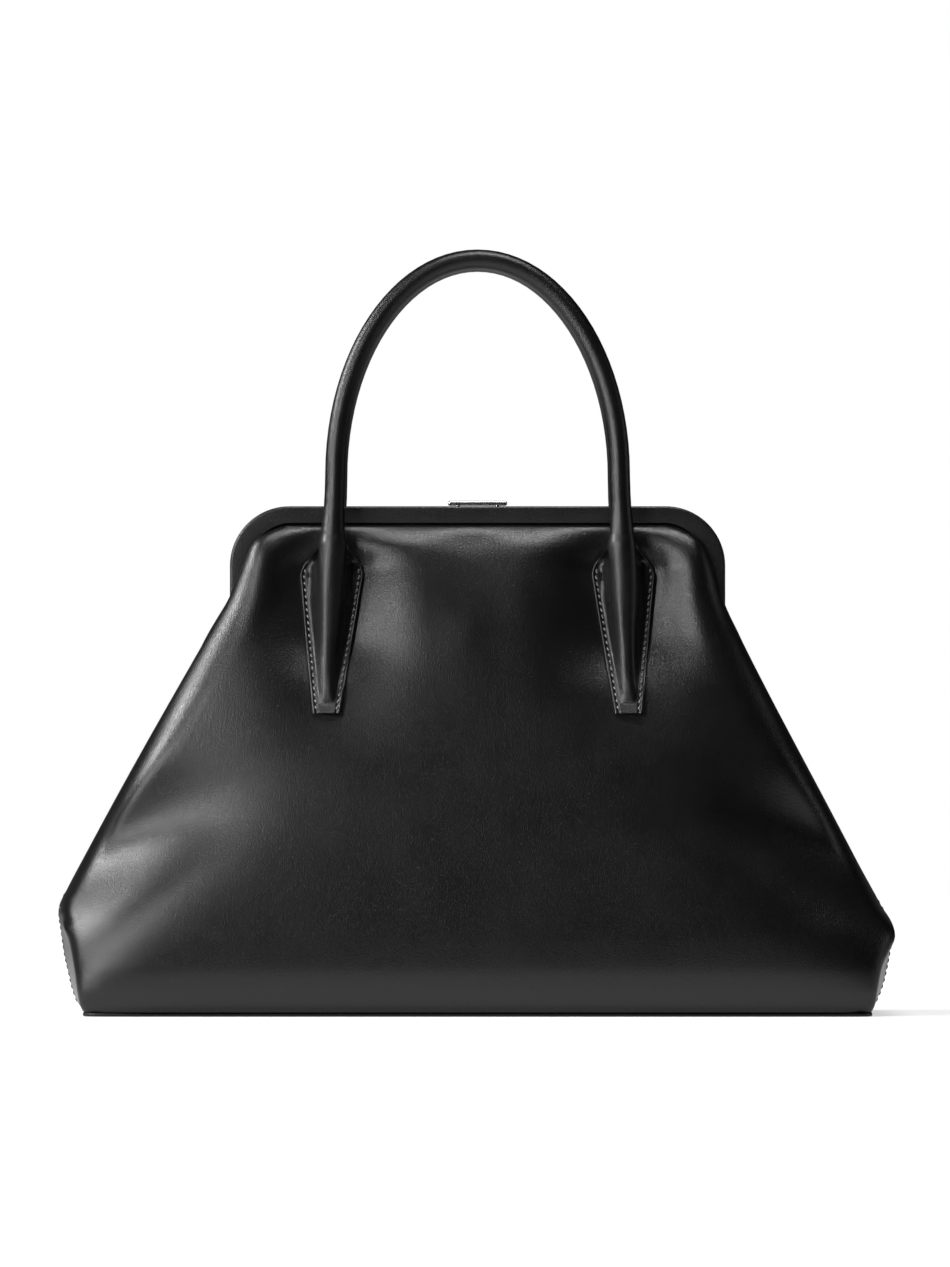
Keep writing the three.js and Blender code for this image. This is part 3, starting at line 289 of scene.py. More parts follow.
def panel_strip(fold, side, z, angle):
    """Leather beyond the fold: round the frame's edge into its channel, or down to the side seam."""
    edge, way = frame_edge(fold.x, z, angle)
    width = frame_width(angle)
    bend = COVER_WALL / 2 + SEAT_GAP + PANEL_THICK / 2
    middle = FRAME_FRONT - COVER_WALL / 2

    def spot(inward, depth):
        return edge + way * inward + Vector((0, -depth, 0))

    def turn(degrees, radius):
        a = math.radians(degrees)
        return spot(width + radius * math.sin(a), middle + radius * math.cos(a))

    over = ease((angle - 0.5) / 0.8)
    hairpin = [fold + Vector((-1.3, 1.3, 0)), turn(0, bend), turn(45, bend)]
    run = []
    for k, (degrees, share) in enumerate(((60, 0.5), (72, 0.15), (82, 0))):
        reach = mix(bend, (fold - turn(degrees, 0)).length, share)
        run.append(hairpin[k].lerp(turn(degrees, reach), over))
    run += [turn(90, bend), turn(135, bend), turn(180, bend), spot(CORE_INNER + 0.5, middle - bend)]
    if angle > 0 or z >= LEG_END:
        return run
    seam = Vector((seam_half(side, z), -along(SEAM_DEPTH, z), z))
    pocket = ease((z - VALLEY_START) / (HINGE_Z - VALLEY_START))
    last = len(run)
    held = []
    for k, spot_k in enumerate(run):
        straight = fold.lerp(seam, (k + 1) / last)
        if k == last - 1:
            held.append(seam)
        elif k < 4:
            held.append(straight.lerp(spot_k, pocket))
        else:
            close = Vector((seam.x, min(seam.y, spot_k.y), seam.z))
            held.append(straight.lerp(close.lerp(spot_k, (last - 1 - k) / 5), pocket))
    return held


def through(points, count):
    """Evenly numbered places on a smooth curve through points[1:]; points[0] only gives it its direction."""
    ends = points + [points[-1] * 2 - points[-2]]
    spans = len(points) - 2
    run = []
    for i in range(1, count + 1):
        at = spans * i / count
        k = min(int(at), spans - 1)
        t = at - k
        a, b, c, d = ends[k], ends[k + 1], ends[k + 2], ends[k + 3]
        run.append(0.5 * (2 * b + (c - a) * t + (2 * a - 5 * b + 4 * c - d) * t * t
                          + (3 * b - a - 3 * c + d) * t * t * t))
    return run


# Blender helpers

def deselect():
    if bpy.context.object and bpy.context.object.mode != "OBJECT":
        bpy.ops.object.mode_set(mode="OBJECT")
    bpy.ops.object.select_all(action="DESELECT")


def named(name):
    piece = bpy.context.object
    piece.name = name
    piece.data.name = name
    return piece


def apply_all(piece):
    bpy.context.view_layer.objects.active = piece
    for modifier in list(piece.modifiers):
        bpy.ops.object.modifier_apply(modifier=modifier.name)


def tidy_faces(merge=0.00001, fill=False):
    """Merges doubles, closes open ends if asked, and turns faces outward on the active piece."""
    bpy.ops.object.mode_set(mode="EDIT")
    bpy.ops.mesh.select_all(action="SELECT")
    bpy.ops.mesh.remove_doubles(threshold=merge)
    if fill:
        bpy.ops.mesh.fill_holes(sides=0)
    bpy.ops.mesh.normals_make_consistent(inside=False)
    bpy.ops.object.mode_set(mode="OBJECT")


def smooth_under(degrees):
    """Shades the active piece smooth, apart from edges sharper than an angle."""
    bpy.ops.object.shade_smooth_by_angle(angle=math.radians(degrees))


def shaped_grid(name, columns, rows, place):
    """A grid whose point in column i and row j goes to place(i, j), in millimetres."""
    deselect()
    bpy.ops.mesh.primitive_grid_add(x_subdivisions=columns - 1, y_subdivisions=rows - 1, size=2)
    piece = named(name)
    for vertex in piece.data.vertices:
        i = round((vertex.co.x + 1) / 2 * (columns - 1))
        j = round((vertex.co.y + 1) / 2 * (rows - 1))
        vertex.co = Vector(place(i, j)) * MM
    piece.data.update()
    return piece


def outline_face(name, points):
    """One face with its corners at points in millimetres, selected in edit mode."""
    deselect()
    bpy.ops.mesh.primitive_circle_add(vertices=len(points), radius=1, fill_type="NGON")
    piece = named(name)
    for vertex, point in zip(piece.data.vertices, points):
        vertex.co = Vector(point) * MM
    bpy.ops.object.mode_set(mode="EDIT")
    bpy.ops.mesh.select_all(action="SELECT")
    return piece


def thicken(piece, thickness):
    solidify = piece.modifiers.new("leather", "SOLIDIFY")
    solidify.thickness = thickness * MM
    solidify.offset = 0
    apply_all(piece)
    tidy_faces()
    smooth_under(50)


def finish_piece(piece, material):
    piece.data.materials.clear()
    piece.data.materials.append(material)
    return piece


def bend_with_frame(piece):
    """Bakes a soft piece's placement into its mesh."""
    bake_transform(piece)


def add_block(size, place):
    """A box of a size in millimetres, around a place."""
    bpy.ops.mesh.primitive_cube_add(size=1, location=[p * MM for p in place], scale=[s * MM for s in size])
    bpy.ops.object.transform_apply(location=True, rotation=True, scale=True)
    return bpy.context.object


def ease_edges(piece, width, segments):
    eased = piece.modifiers.new("eased_edge", "BEVEL")
    eased.width = width * MM
    eased.segments = segments
    return eased


# Materials

def srgb(code):
    """Linear colour of an sRGB hex value."""
    parts = [int(code[i:i + 2], 16) / 255 for i in (1, 3, 5)]
    return [c / 12.92 if c <= 0.04045 else ((c + 0.055) / 1.055) ** 2.4 for c in parts] + [1]


def add_node(tree, kind, settings=None, inputs=None):
    """Adds a node with its settings, and sets or links its inputs."""
    node = tree.nodes.new(kind)
    for key, value in (settings or {}).items():
        setattr(node, key, value)
    for key, value in (inputs or {}).items():
        if isinstance(value, bpy.types.NodeSocket):
            tree.links.new(value, node.inputs[key])
        else:
            node.inputs[key].default_value = value
    return node


def new_material(name):
    material = bpy.data.materials.new(name)
    material.use_nodes = True
    tree = material.node_tree
    tree.nodes.clear()
    output = add_node(tree, "ShaderNodeOutputMaterial")
    place = add_node(tree, "ShaderNodeTexCoord").outputs["Object"]
    return material, tree, output, place


def between(tree, factor, dark, light):
    """A colour between two sRGB hex values."""
    mixed = add_node(tree, "ShaderNodeMix", {"data_type": "RGBA"},
                     {"Factor": factor, 6: srgb(dark), 7: srgb(light)})
    return mixed.outputs[2]


def coat(material, tree, output, inputs):
    """Gives a material its surface."""
    skin = add_node(tree, "ShaderNodeBsdfPrincipled", {}, inputs)
    tree.links.new(skin.outputs["BSDF"], output.inputs["Surface"])
    return material


def calf_leather(name, dark, light, cell_mm, bump, low_rough, high_rough):
    """Aniline-finished calf: deep black, satin, with fine closed pores and slow cloudiness in the finish.

    Real pores are finer than a pixel, so they are drawn about a millimetre wide to show as grain."""
    material, tree, output, place = new_material(name)
    pores = add_node(tree, "ShaderNodeTexVoronoi", {"feature": "DISTANCE_TO_EDGE"},
                     {"Vector": place, "Scale": 1 / (cell_mm * MM), "Randomness": 1.0})
    crest = add_node(tree, "ShaderNodeMapRange", {"interpolation_type": "SMOOTHSTEP"},
                     {"Value": pores.outputs["Distance"], "From Min": 0.0, "From Max": 0.25, "To Max": 0.6})
    fine = add_node(tree, "ShaderNodeTexNoise", {}, {"Vector": place, "Scale": 1 / (0.9 * MM), "Detail": 4.0})
    cloud = add_node(tree, "ShaderNodeTexNoise", {}, {"Vector": place, "Scale": 1 / (28 * MM), "Detail": 4.0})
    grain = add_node(tree, "ShaderNodeMath", {"operation": "MULTIPLY_ADD"},
                     {0: fine.outputs["Fac"], 1: 1.6, 2: crest.outputs["Result"]})
    relief = add_node(tree, "ShaderNodeBump", {},
                      {"Strength": bump, "Distance": 0.09 * MM, "Height": grain.outputs["Value"]})
    tint = between(tree, cloud.outputs["Fac"], dark, light)
    rough = add_node(tree, "ShaderNodeMapRange", {},
                     {"Value": cloud.outputs["Fac"], "From Min": 0.3, "From Max": 0.7,
                      "To Min": low_rough, "To Max": high_rough})
    return coat(material, tree, output, {"Base Color": tint, "Roughness": rough.outputs["Result"], "IOR": 1.48,
                                         "Normal": relief.outputs["Normal"]})


def waxed_thread(name):
    """Waxed polyester thread, black in itself, in two twisted plies and duller than the leather. Its grey tint with
    lighter diagonal bands is painted highlight, standing in for light caught on the stitches.
    """
    material, tree, output, place = new_material(name)
    plies_and_painted_highlight = add_node(tree, "ShaderNodeTexWave", {"wave_type": "BANDS", "bands_direction": "DIAGONAL"},
                     {"Vector": place, "Scale": 1 / (3.2 * MM), "Distortion": 0.6})
    # Painted highlight: black thread drawn grey, lighter along the bands of its plies.
    tint = between(tree, plies_and_painted_highlight.outputs["Fac"], "#333333", "#8f8f8f")
    relief = add_node(tree, "ShaderNodeBump", {},
                      {"Strength": 0.5, "Distance": 0.08 * MM, "Height": plies_and_painted_highlight.outputs["Fac"]})
    return coat(material, tree, output, {"Base Color": tint, "Roughness": 0.5, "Normal": relief.outputs["Normal"]})


def plated_metal(name, dark, light, low_rough, high_rough):
    """Plated metal: bright, with the faint straight lines that polishing leaves."""
    material, tree, output, place = new_material(name)
    stretched = add_node(tree, "ShaderNodeMapping", {}, {"Vector": place, "Scale": (0.06, 1.0, 1.0)})
    lines = add_node(tree, "ShaderNodeTexNoise", {},
                     {"Vector": stretched.outputs["Vector"], "Scale": 1 / (0.4 * MM), "Detail": 4.0})
    tint = between(tree, lines.outputs["Fac"], dark, light)
    rough = add_node(tree, "ShaderNodeMapRange", {},
                     {"Value": lines.outputs["Fac"], "From Min": 0.3, "From Max": 0.7,
                      "To Min": low_rough, "To Max": high_rough})
    return coat(material, tree, output,
                {"Base Color": tint, "Roughness": rough.outputs["Result"], "Metallic": 1.0})


def matt_fibre(name, dark, light, fibre_mm):
    """Suede, board or rope: matt, with short fibres that lie in slow swirls and catch light at a low angle."""
    material, tree, output, place = new_material(name)
    swirl = add_node(tree, "ShaderNodeTexNoise", {}, {"Vector": place, "Scale": 1 / (14 * MM), "Detail": 3.0})
    fibre = add_node(tree, "ShaderNodeTexNoise", {},
                     {"Vector": place, "Scale": 1 / (fibre_mm * MM), "Detail": 2.0})
    both = add_node(tree, "ShaderNodeMath", {"operation": "MULTIPLY"},
                    {0: swirl.outputs["Fac"], 1: fibre.outputs["Fac"]})
    tint = between(tree, both.outputs["Value"], dark, light)
    relief = add_node(tree, "ShaderNodeBump", {},
                      {"Strength": 0.4, "Distance": 0.1 * MM, "Height": fibre.outputs["Fac"]})
    return coat(material, tree, output, {"Base Color": tint, "Roughness": 0.95, "Sheen Weight": 0.35,
                                         "Sheen Roughness": 0.5, "Normal": relief.outputs["Normal"]})


body_calf = calf_leather("body_calf_leather", "#060607", "#0b0b0c", 0.9, 0.6, 0.29, 0.34)
handle_calf = calf_leather("handle_calf_leather", "#060607", "#0b0b0c", 0.7, 0.5, 0.29, 0.35)
frame_calf = calf_leather("frame_pebbled_leather", "#0a0a0b", "#101011", 1.3, 0.7, 0.34, 0.41)
thread = waxed_thread("waxed_black_thread")
chrome = plated_metal("polished_chrome", "#c9c9cb", "#dededf", 0.05, 0.1)
steel = plated_metal("nickel_plated_steel", "#86888b", "#a3a5a8", 0.28, 0.42)
suede = matt_fibre("microsuede_lining", "#171514", "#2b2725", 0.5)
fibreboard = matt_fibre("pressed_fibreboard", "#4a3a28", "#6a543b", 1.2)
cotton_rope = matt_fibre("twisted_cotton_rope", "#b9a684", "#d6c7a6", 0.9)


# Front and back of the body

ROWS = [BOTTOM_EDGE + (FOLD_TOP - BOTTOM_EDGE) * k / 118 for k in range(119)]
STRIP = 18
FRONT_SHARES = [k / 34 for k in range(-34, 35)]


def panel_row_point(side_share, near, side, z):
    half = fold_half(side, z)
    inner = half - NEAR_FOLD[0]
    x = side_share * inner if near is None else side * (half - near)
    return Vector((x, -panel_depth(x, z), z))


def front_columns():
    """Columns across the front from left to right: (share, near, side)."""
    middle = [(s, None, -1 if s < 0 else 1) for s in FRONT_SHARES]
    left = [(None, near, -1) for near in reversed(NEAR_FOLD[1:])]
    right = [(None, near, 1) for near in NEAR_FOLD[1:]]
    return left + middle + right


def tuck_under(z):
    """Turned lower edge: the last millimetres curl in towards the base."""
    low = max(0.0, 1 - (z - BOTTOM_EDGE) / 5)
    return 1.1 * low * low


def body_panel(name, facing):
    columns = front_columns()
    wide = len(columns)
    high = len(ROWS)

    def side_run(side, z, ahead_z, angle):
        ahead = panel_row_point(None, NEAR_FOLD[-4], side, ahead_z)
        fold = panel_row_point(None, 0, side, z)
        for p in (ahead, fold):
            p.x = abs(p.x)
        return through([ahead, fold] + panel_strip(fold, side, z, angle), STRIP)

    def top_run(i):
        point = panel_row_point(*columns[i], FOLD_TOP)
        below = panel_row_point(*columns[i], FOLD_TOP - 1.5)
        side = -1 if point.x < 0 else 1
        for p in (point, below):
            p.x = abs(p.x)
        run = through([below, point] + panel_strip(point, side, FOLD_TOP, math.pi / 2), STRIP)
        return [Vector((side * p.x, p.y, p.z)) for p in run]

    sides = {side: [side_run(side, z, z, row_angle(z)) for z in ROWS] for side in (-1, 1)}
    tops = [top_run(i) for i in range(wide)]

    def corner(side, i, k):
        """Mitred corner of the strip, between the last row and the top."""
        angle = mix(row_angle(FOLD_TOP), math.pi / 2 - 0.0001, k / (i + k))
        return side_run(side, FOLD_TOP, FOLD_TOP - 0.5, angle)[max(i, k) - 1]

    def place(i, j):
        if STRIP <= i < STRIP + wide:
            if j < high:
                p = panel_row_point(*columns[i - STRIP], ROWS[j])
            else:
                p = tops[i - STRIP][j - high].copy()
        else:
            side = -1 if i < STRIP else 1
            out = STRIP - i if side < 0 else i - STRIP - wide + 1
            p = sides[side][j][out - 1].copy() if j < high else corner(side, out, j - high + 1).copy()
            p.x *= side
        curl = tuck_under(p.z)
        if curl:
            p.y += curl * ease(-p.y / 20)
            p.x -= curl * math.copysign(ease((abs(p.x) - 150) / 40), p.x)
        return (p.x, p.y * facing, p.z)

    panel = shaped_grid(name, wide + 2 * STRIP, high + STRIP, place)
    thicken(panel, PANEL_THICK)
    return finish_piece(panel, body_calf)


for which, facing in HALVES:
    leather = body_panel(f"{which}_body_leather", facing)
    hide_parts(f"{which}_panel")
    bend_with_frame(leather)


# Frame: each half is one leather-covered channel, swept along the U from one leg to the other

def cover_section():
    """Outline of the cover as (distance in from the frame's edge, depth), with all its edges rounded."""
    points = []

    def arc(inward, depth, radius, start, end):
        for k in range(7):
            a = math.radians(mix(start, end, k / 6))
            points.append((inward + radius * math.cos(a), depth + radius * math.sin(a)))

    lip = FRAME_LEG - 0.6
    arc(1.5, FRAME_FRONT - 1.5, 1.5, 90, 180)
    arc(1.5, FRAME_SPLIT + 1.5, 1.5, 180, 270)
    arc(lip, FRAME_SPLIT + 0.6, 0.6, 270, 360)
    arc(lip, FRAME_SPLIT + COVER_WALL - 0.6, 0.6, 0, 90)
    points.append((COVER_WALL, FRAME_SPLIT + COVER_WALL))
    points.append((COVER_WALL, FRAME_FRONT - COVER_WALL))
    arc(lip, FRAME_FRONT - COVER_WALL + 0.6, 0.6, 270, 360)
    arc(lip, FRAME_FRONT - 0.6, 0.6, 0, 90)
    return points


def cut_block(piece, low, high):
    """Takes a box-shaped notch out of a piece."""
    deselect()
    block = add_block([b - a for a, b in zip(low, high)], [(a + b) / 2 for a, b in zip(low, high)])
    notch = piece.modifiers.new("notch", "BOOLEAN")
    notch.operation = "DIFFERENCE"
    notch.object = block
    apply_all(piece)
    bpy.data.objects.remove(block)


def frame_cover(name, facing):
    straight = FRAME_HALF - FRAME_CORNER
    rise = FRAME_TOP - FRAME_CORNER - LEG_END
    bend_z = (FRAME_TOP - FRAME_CORNER) * MM
    cover = outline_face(name, [(inward - FRAME_HALF, -depth * facing, LEG_END)
                                for inward, depth in cover_section()])
    bpy.ops.mesh.extrude_region_move(TRANSFORM_OT_translate={"value": (0, 0, rise * MM)})
    bpy.ops.mesh.spin(steps=20, angle=-math.pi / 2, center=(-straight * MM, 0, bend_z), axis=(0, 1, 0))
    bpy.ops.mesh.extrude_region_move(TRANSFORM_OT_translate={"value": (2 * straight * MM, 0, 0)})
    bpy.ops.mesh.spin(steps=20, angle=-math.pi / 2, center=(straight * MM, 0, bend_z), axis=(0, 1, 0))
    bpy.ops.mesh.extrude_region_move(TRANSFORM_OT_translate={"value": (0, 0, -rise * MM)})
    bpy.ops.object.mode_set(mode="OBJECT")
    tidy_faces()
    for vertex in cover.data.vertices:
        p = vertex.co / MM
        out = max(0.0, abs(p.x) - straight)
        up = max(0.0, p.z - bend_z / MM)
        angle = math.atan2(up, out) if up else 0.0
        inward = FRAME_CORNER - math.hypot(out, up)
        if inward > 5:
            shift = (FRAME_LEG - frame_width(angle)) * (inward - 5) / (FRAME_LEG - 5)
            p.x += math.copysign(shift * math.cos(angle), p.x)
            p.z += shift * math.sin(angle)
            vertex.co = p * MM
    slot = FRAME_TOP - 5.7
    low = FRAME_TOP - FRAME_BAR - 2
    facing_wall = sorted((-facing * (FRAME_SPLIT - 0.15), -facing * (FRAME_SPLIT + COVER_WALL + 0.15)))
    cut_block(cover, (-6.5, facing_wall[0], low), (6.5, facing_wall[1], slot))
    if facing < 0:
        cut_block(cover, (-15.3, 2, FRAME_TOP - 1.6), (15.3, 9.6, FRAME_TOP + 2))
    deselect()
    cover.select_set(True)
    bpy.context.view_layer.objects.active = cover
    smooth_under(40)
    return finish_piece(cover, frame_calf)


covers = {}
for which, facing in HALVES:
    covers[which] = frame_cover(f"{which}_frame_leather", facing)
    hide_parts(f"{which}_frame_cover")
    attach(covers[which], f"{which}_frame")


# Handles: rolled leather over a rope

def handle_depth(z):
    return mix(HANDLE_FOOT_DEPTH, HANDLE_TOP_DEPTH, (z - HANDLE_FOOT_Z) / (HANDLE_TOP_Z - HANDLE_FOOT_Z))


def handle_radius(z):
    return along([(237, 6.45), (241, 6.25), (245, 5.88), (250, 5.45), (256, HANDLE_RADIUS)], z)


def handle_x(z):
    return mix(HANDLE_FOOT_X, HANDLE_HALF, ease((z - HANDLE_FOOT_Z) / (HANDLE_SPRING_Z - HANDLE_FOOT_Z)))


def arch_tube(name, facing, foot, wall, material):
    """The handle's arch as a thick curve turned into a mesh: two upright legs and half an ellipse.

    It starts at the height foot, and its surface lies wall deep inside the leather's."""
    round_reach = 0.5523
    arch = HANDLE_TOP_Z - HANDLE_SPRING_Z
    legs = [foot, 241, 245, 250, 256, 263]
    slim = HANDLE_RADIUS - wall
    spots = [(-handle_x(z), z, 0, 2, handle_radius(z) - wall) for z in legs]
    spots += [(-HANDLE_HALF, HANDLE_SPRING_Z, 0, arch * round_reach, slim),
              (0, HANDLE_TOP_Z, HANDLE_HALF * round_reach, 0, slim),
              (HANDLE_HALF, HANDLE_SPRING_Z, 0, -arch * round_reach, slim)]
    spots += [(handle_x(z), z, 0, -2, handle_radius(z) - wall) for z in reversed(legs)]
    deselect()
    bpy.ops.curve.primitive_bezier_curve_add(location=(0, 0, 0))
    curve = bpy.context.object
    spline = curve.data.splines[0]
    spline.bezier_points.add(len(spots) - 2)
    for k, (x, z, way_x, way_z, radius) in enumerate(spots):
        point = spline.bezier_points[k]
        point.handle_left_type = "FREE"
        point.handle_right_type = "FREE"
        lean = (HANDLE_FOOT_DEPTH - HANDLE_TOP_DEPTH) / (HANDLE_TOP_Z - HANDLE_FOOT_Z)
        point.co = Vector((x, -handle_depth(z) * facing, z)) * MM
        ahead = Vector((way_x, way_z * lean * facing, way_z)) * MM
        if z == HANDLE_SPRING_Z:
            small = Vector((0, math.copysign(2.5, way_z) * lean * facing, math.copysign(2.5, way_z))) * MM
            point.handle_left = point.co - (small if x < 0 else ahead)
            point.handle_right = point.co + (ahead if x < 0 else small)
        else:
            point.handle_left = point.co - ahead
            point.handle_right = point.co + ahead
        point.radius = radius / HANDLE_RADIUS
    curve.data.dimensions = "3D"
    curve.data.bevel_depth = HANDLE_RADIUS * MM
    curve.data.bevel_resolution = 8
    curve.data.resolution_u = 24
    curve.data.use_fill_caps = True
    curve.data.twist_mode = "MINIMUM"
    bpy.ops.object.convert(target="MESH")
    tube = named(name)
    tidy_faces()
    smooth_under(50)
    return finish_piece(tube, material)


for which, facing in HALVES:
    handle = arch_tube(f"{which}_rolled_handle", facing, HANDLE_ENDS_Z, 0, handle_calf)
    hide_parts(f"{which}_handle_cover")
    rope = arch_tube(f"{which}_handle_rope", facing, ROPE_ENDS_Z, ROPE_INSET, cotton_rope)
    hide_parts(f"{which}_handle_core")
    for tube in (handle, rope):
        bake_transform(tube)


# Tabs: leather shields sewn to the body, each with a raised spine that takes the foot of a handle

SPINE_HALF = [(151, 3.6), (163, 5), (180, 6.7), (200, 7.3), (221, 7.3), (235, 7.15), (240, 6.5), (245, 5.9)]
SPINE_CREST = [(158, 44), (163, 43.6), (169, 42.3), (175, 40.9), (181, 39.6), (190, 38.2), (199, 37.4), (205, 37),
               (211, 36.7), (221, 36.1), (227, 35.7), (236, 34.9), (TAB_TOP_Z, 33.4)]
WING_SHARES = [0, 0.01, 0.035, 0.075, 0.115, 0.17, 0.21, 0.24, 0.27, 0.32, 0.45, 0.6, 0.75, 0.88, 1]


def tab_middle(z):
    return mix(HANDLE_HALF + 4, HANDLE_FOOT_X + 0.3, (z - TAB_BOTTOM_Z) / (HANDLE_FOOT_Z - TAB_BOTTOM_Z))


def tab_seat(x, z):
    return panel_depth(x, min(z, 238)) + PANEL_THICK / 2 + 0.15


def tab_half(z):
    return max(along(TAB_HALF, z), along(SPINE_HALF, z) + 0.05)


def tab_shield(side, offset, z):
    """Depth of the tab's flat face at an offset from its middle line, with a rounded rim and a sewn groove.

    Its lower end is turned a little to the left."""
    inside = tab_half(z) - abs(offset)
    rim = min(1.0, max(0.0, 1 - inside / TAB_RIM))
    groove = 0.45 * math.exp(-((inside - STITCH_INSET) / 0.55) ** 2) * ease((228 - z) / 4)
    seat = tab_seat(side * (tab_middle(z) + offset), z)
    tilt = TAB_TILT * side * offset * ease((174 - z) / 14)
    return seat + TAB_THICK + tilt - TAB_RIM * (1 - math.sqrt(1 - rim * rim)) - groove


def spine_face(side, offset, z):
    """Depth of the tab's face with its raised spine, which starts at the handle's foot and dies away lower down."""
    level = min(z, 236)
    rise = max(0.0, along(SPINE_CREST, z) - tab_shield(side, 0, level))
    skirt = max(along(SPINE_HALF, z) * 1.02, min(tab_half(z) - 3.2, 1.55 * along(SPINE_HALF, z)))
    share = min(1.0, abs(offset) / skirt)
    return tab_shield(side, offset, level) + rise * (1 - share ** 3) ** 2


def handle_tab(name, side, facing):
    """Shield and spine as one skin: wings, the round of the spine, and the back of the tab or of the tube."""
    rows = [TAB_BOTTOM_Z + (TAB_TOP_Z - TAB_BOTTOM_Z) * k / 110 for k in range(111)]
    wing, turns = len(WING_SHARES), 32
    around = 2 * wing + 2 * turns

    def place(i, j):
        z = rows[j]
        i %= around
        half, spine = tab_half(z), along(SPINE_HALF, z)
        axis = along(SPINE_CREST, z) - spine
        tube = ease((z - 227) / 9)
        if i < wing or wing + turns <= i < 2 * wing + turns:
            share = WING_SHARES[i if i < wing else 2 * wing + turns - 1 - i]
            offset = mix(half, spine + 0.04, share) * (-1 if i < wing else 1)
            depth = mix(spine_face(side, offset, z), axis, tube)
        elif i < wing + turns:
            turn = math.pi * (i - wing + 0.5) / turns
            offset = -spine * math.cos(turn)
            depth = mix(spine_face(side, offset, z), axis + spine * math.sin(turn), ease((z - 190) / 40))
        else:
            turn = math.pi * (i - 2 * wing - turns + 0.5) / turns
            offset = math.cos(turn) * mix(half, spine, tube)
            seat = tab_seat(side * (tab_middle(z) + offset), z)
            depth = mix(seat, axis - spine * math.sin(turn), tube)
        middle = mix(tab_middle(z), handle_x(z), ease((z - 221) / 17))
        return (side * (middle + offset), -depth * facing, z)

    tab = shaped_grid(name, around + 1, len(rows), place)
    tidy_faces(merge=0.000002, fill=True)
    smooth_under(55)
    return finish_piece(tab, handle_calf)


def sewn_row(name, stitch_ends):
    """Saddle stitches, each a small pillow of thread between two places whose ends dip into the leather."""
    deselect()
    bpy.ops.mesh.primitive_uv_sphere_add(segments=8, ring_count=6, radius=MM)
    stitches = named(name)
    bpy.ops.object.mode_set(mode="EDIT")
    bpy.ops.mesh.select_all(action="SELECT")
    bpy.ops.mesh.delete(type="VERT")
    for low, high in stitch_ends:
        turned = (high - low).to_track_quat("Z", "Y").to_euler()
        bpy.ops.mesh.primitive_uv_sphere_add(segments=8, ring_count=6, radius=MM, location=(low + high) / 2 * MM,
                                             rotation=turned, scale=(0.5, 0.5, STITCH_LONG / 2))
    bpy.ops.object.mode_set(mode="OBJECT")
    bpy.ops.object.shade_smooth()
    return finish_piece(stitches, thread)


def tab_stitches(name, side, facing):
    """A row along each edge of a tab, just inside its rim."""
    def spot(row, z, slant):
        offset = row * (tab_half(z) - STITCH_INSET + slant)
        depth = tab_shield(side, offset, z) + 0.15
        return Vector((side * (tab_middle(z) + offset), -depth * facing, z))

    starts = [TAB_FIRST_STITCH + STITCH_PITCH * k for k in range(TAB_STITCHES)]
    return sewn_row(name, [(spot(row, z - STITCH_LONG / 2, -0.35), spot(row, z + STITCH_LONG / 2, 0.35))
                           for row in (-1, 1) for z in starts])


def seam_stitches(name, side, facing):
    """A row beside the seam in the middle of the bag's side."""
    def spot(z):
        fold = Vector((fold_half(side, z), fold_depth(side, z)))
        seam = Vector((seam_half(side, z), along(SEAM_DEPTH, z)))
        way = (fold - seam).normalized()
        out = Vector((way.y, -way.x))
        place = seam + way * 3 + out * (PANEL_THICK / 2 + 0.1)
        return Vector((side * place.x, -place.y * facing, z))

    starts = [SEAM_FIRST_STITCH + STITCH_PITCH * k for k in range(SEAM_STITCHES)]
    return sewn_row(name, [(spot(z - STITCH_LONG / 2), spot(z + STITCH_LONG / 2)) for z in starts])


for which, facing in HALVES:
    for side, hand in ((-1, "left"), (1, "right")):
        tab = handle_tab(f"{which}_{hand}_tab_leather", side, facing)
        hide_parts(f"{which}_{hand}_tab")
        bend_with_frame(tab)
        bend_with_frame(tab_stitches(f"{which}_{hand}_tab_stitches", side, facing))
        bend_with_frame(seam_stitches(f"{which}_{hand}_seam_stitches", side, facing))


# Base: a leather plate under the body, and the lining on the board inside

BASE_HALF_X, BASE_HALF_Y, BASE_CORNER = 197, 63.6, 7


def base_plate(name, inset, low, thickness, edge):
    """Plate with rounded corners, gently bowed sides and eased edges."""
    half_x, half_y, corner = BASE_HALF_X - inset, BASE_HALF_Y - inset, BASE_CORNER + inset / 2
    outline = []
    for turn, (cx, cy) in enumerate(((1, 1), (-1, 1), (-1, -1), (1, -1))):
        for k in range(9):
            a = math.pi / 2 * (turn + k / 8)
            outline.append((cx * (half_x - corner) + corner * math.cos(a),
                            cy * (half_y - corner) + corner * math.sin(a), low))
        for k in range(1, 12):
            share = k / 12
            bow = 4 * share * (1 - share)
            if turn % 2 == 0:
                outline.append((cx * (half_x - corner) * (1 - 2 * share), cy * (half_y + 0.6 * bow), low))
            else:
                outline.append((cx * (half_x + 1.2 * bow), cy * (half_y - corner) * (1 - 2 * share), low))
    plate = outline_face(name, outline)
    bpy.ops.mesh.extrude_region_move(TRANSFORM_OT_translate={"value": (0, 0, thickness * MM)})
    bpy.ops.object.mode_set(mode="OBJECT")
    tidy_faces()
    eased = ease_edges(plate, edge, 3)
    eased.limit_method = "ANGLE"
    eased.angle_limit = math.radians(60)
    apply_all(plate)
    smooth_under(40)
    return plate


base = finish_piece(base_plate("base_leather", 0.7, 0, 2, 0.8), handle_calf)
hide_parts("base_panel")
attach(base, "bag_body")
base_suede = finish_piece(base_plate("base_lining_suede", 8, 4.6, 0.8, 0.25), suede)
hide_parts("base_lining")
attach(base_suede, "bag_body")


# Lining: a suede bag inside the leather one, held in the frame's channel with it

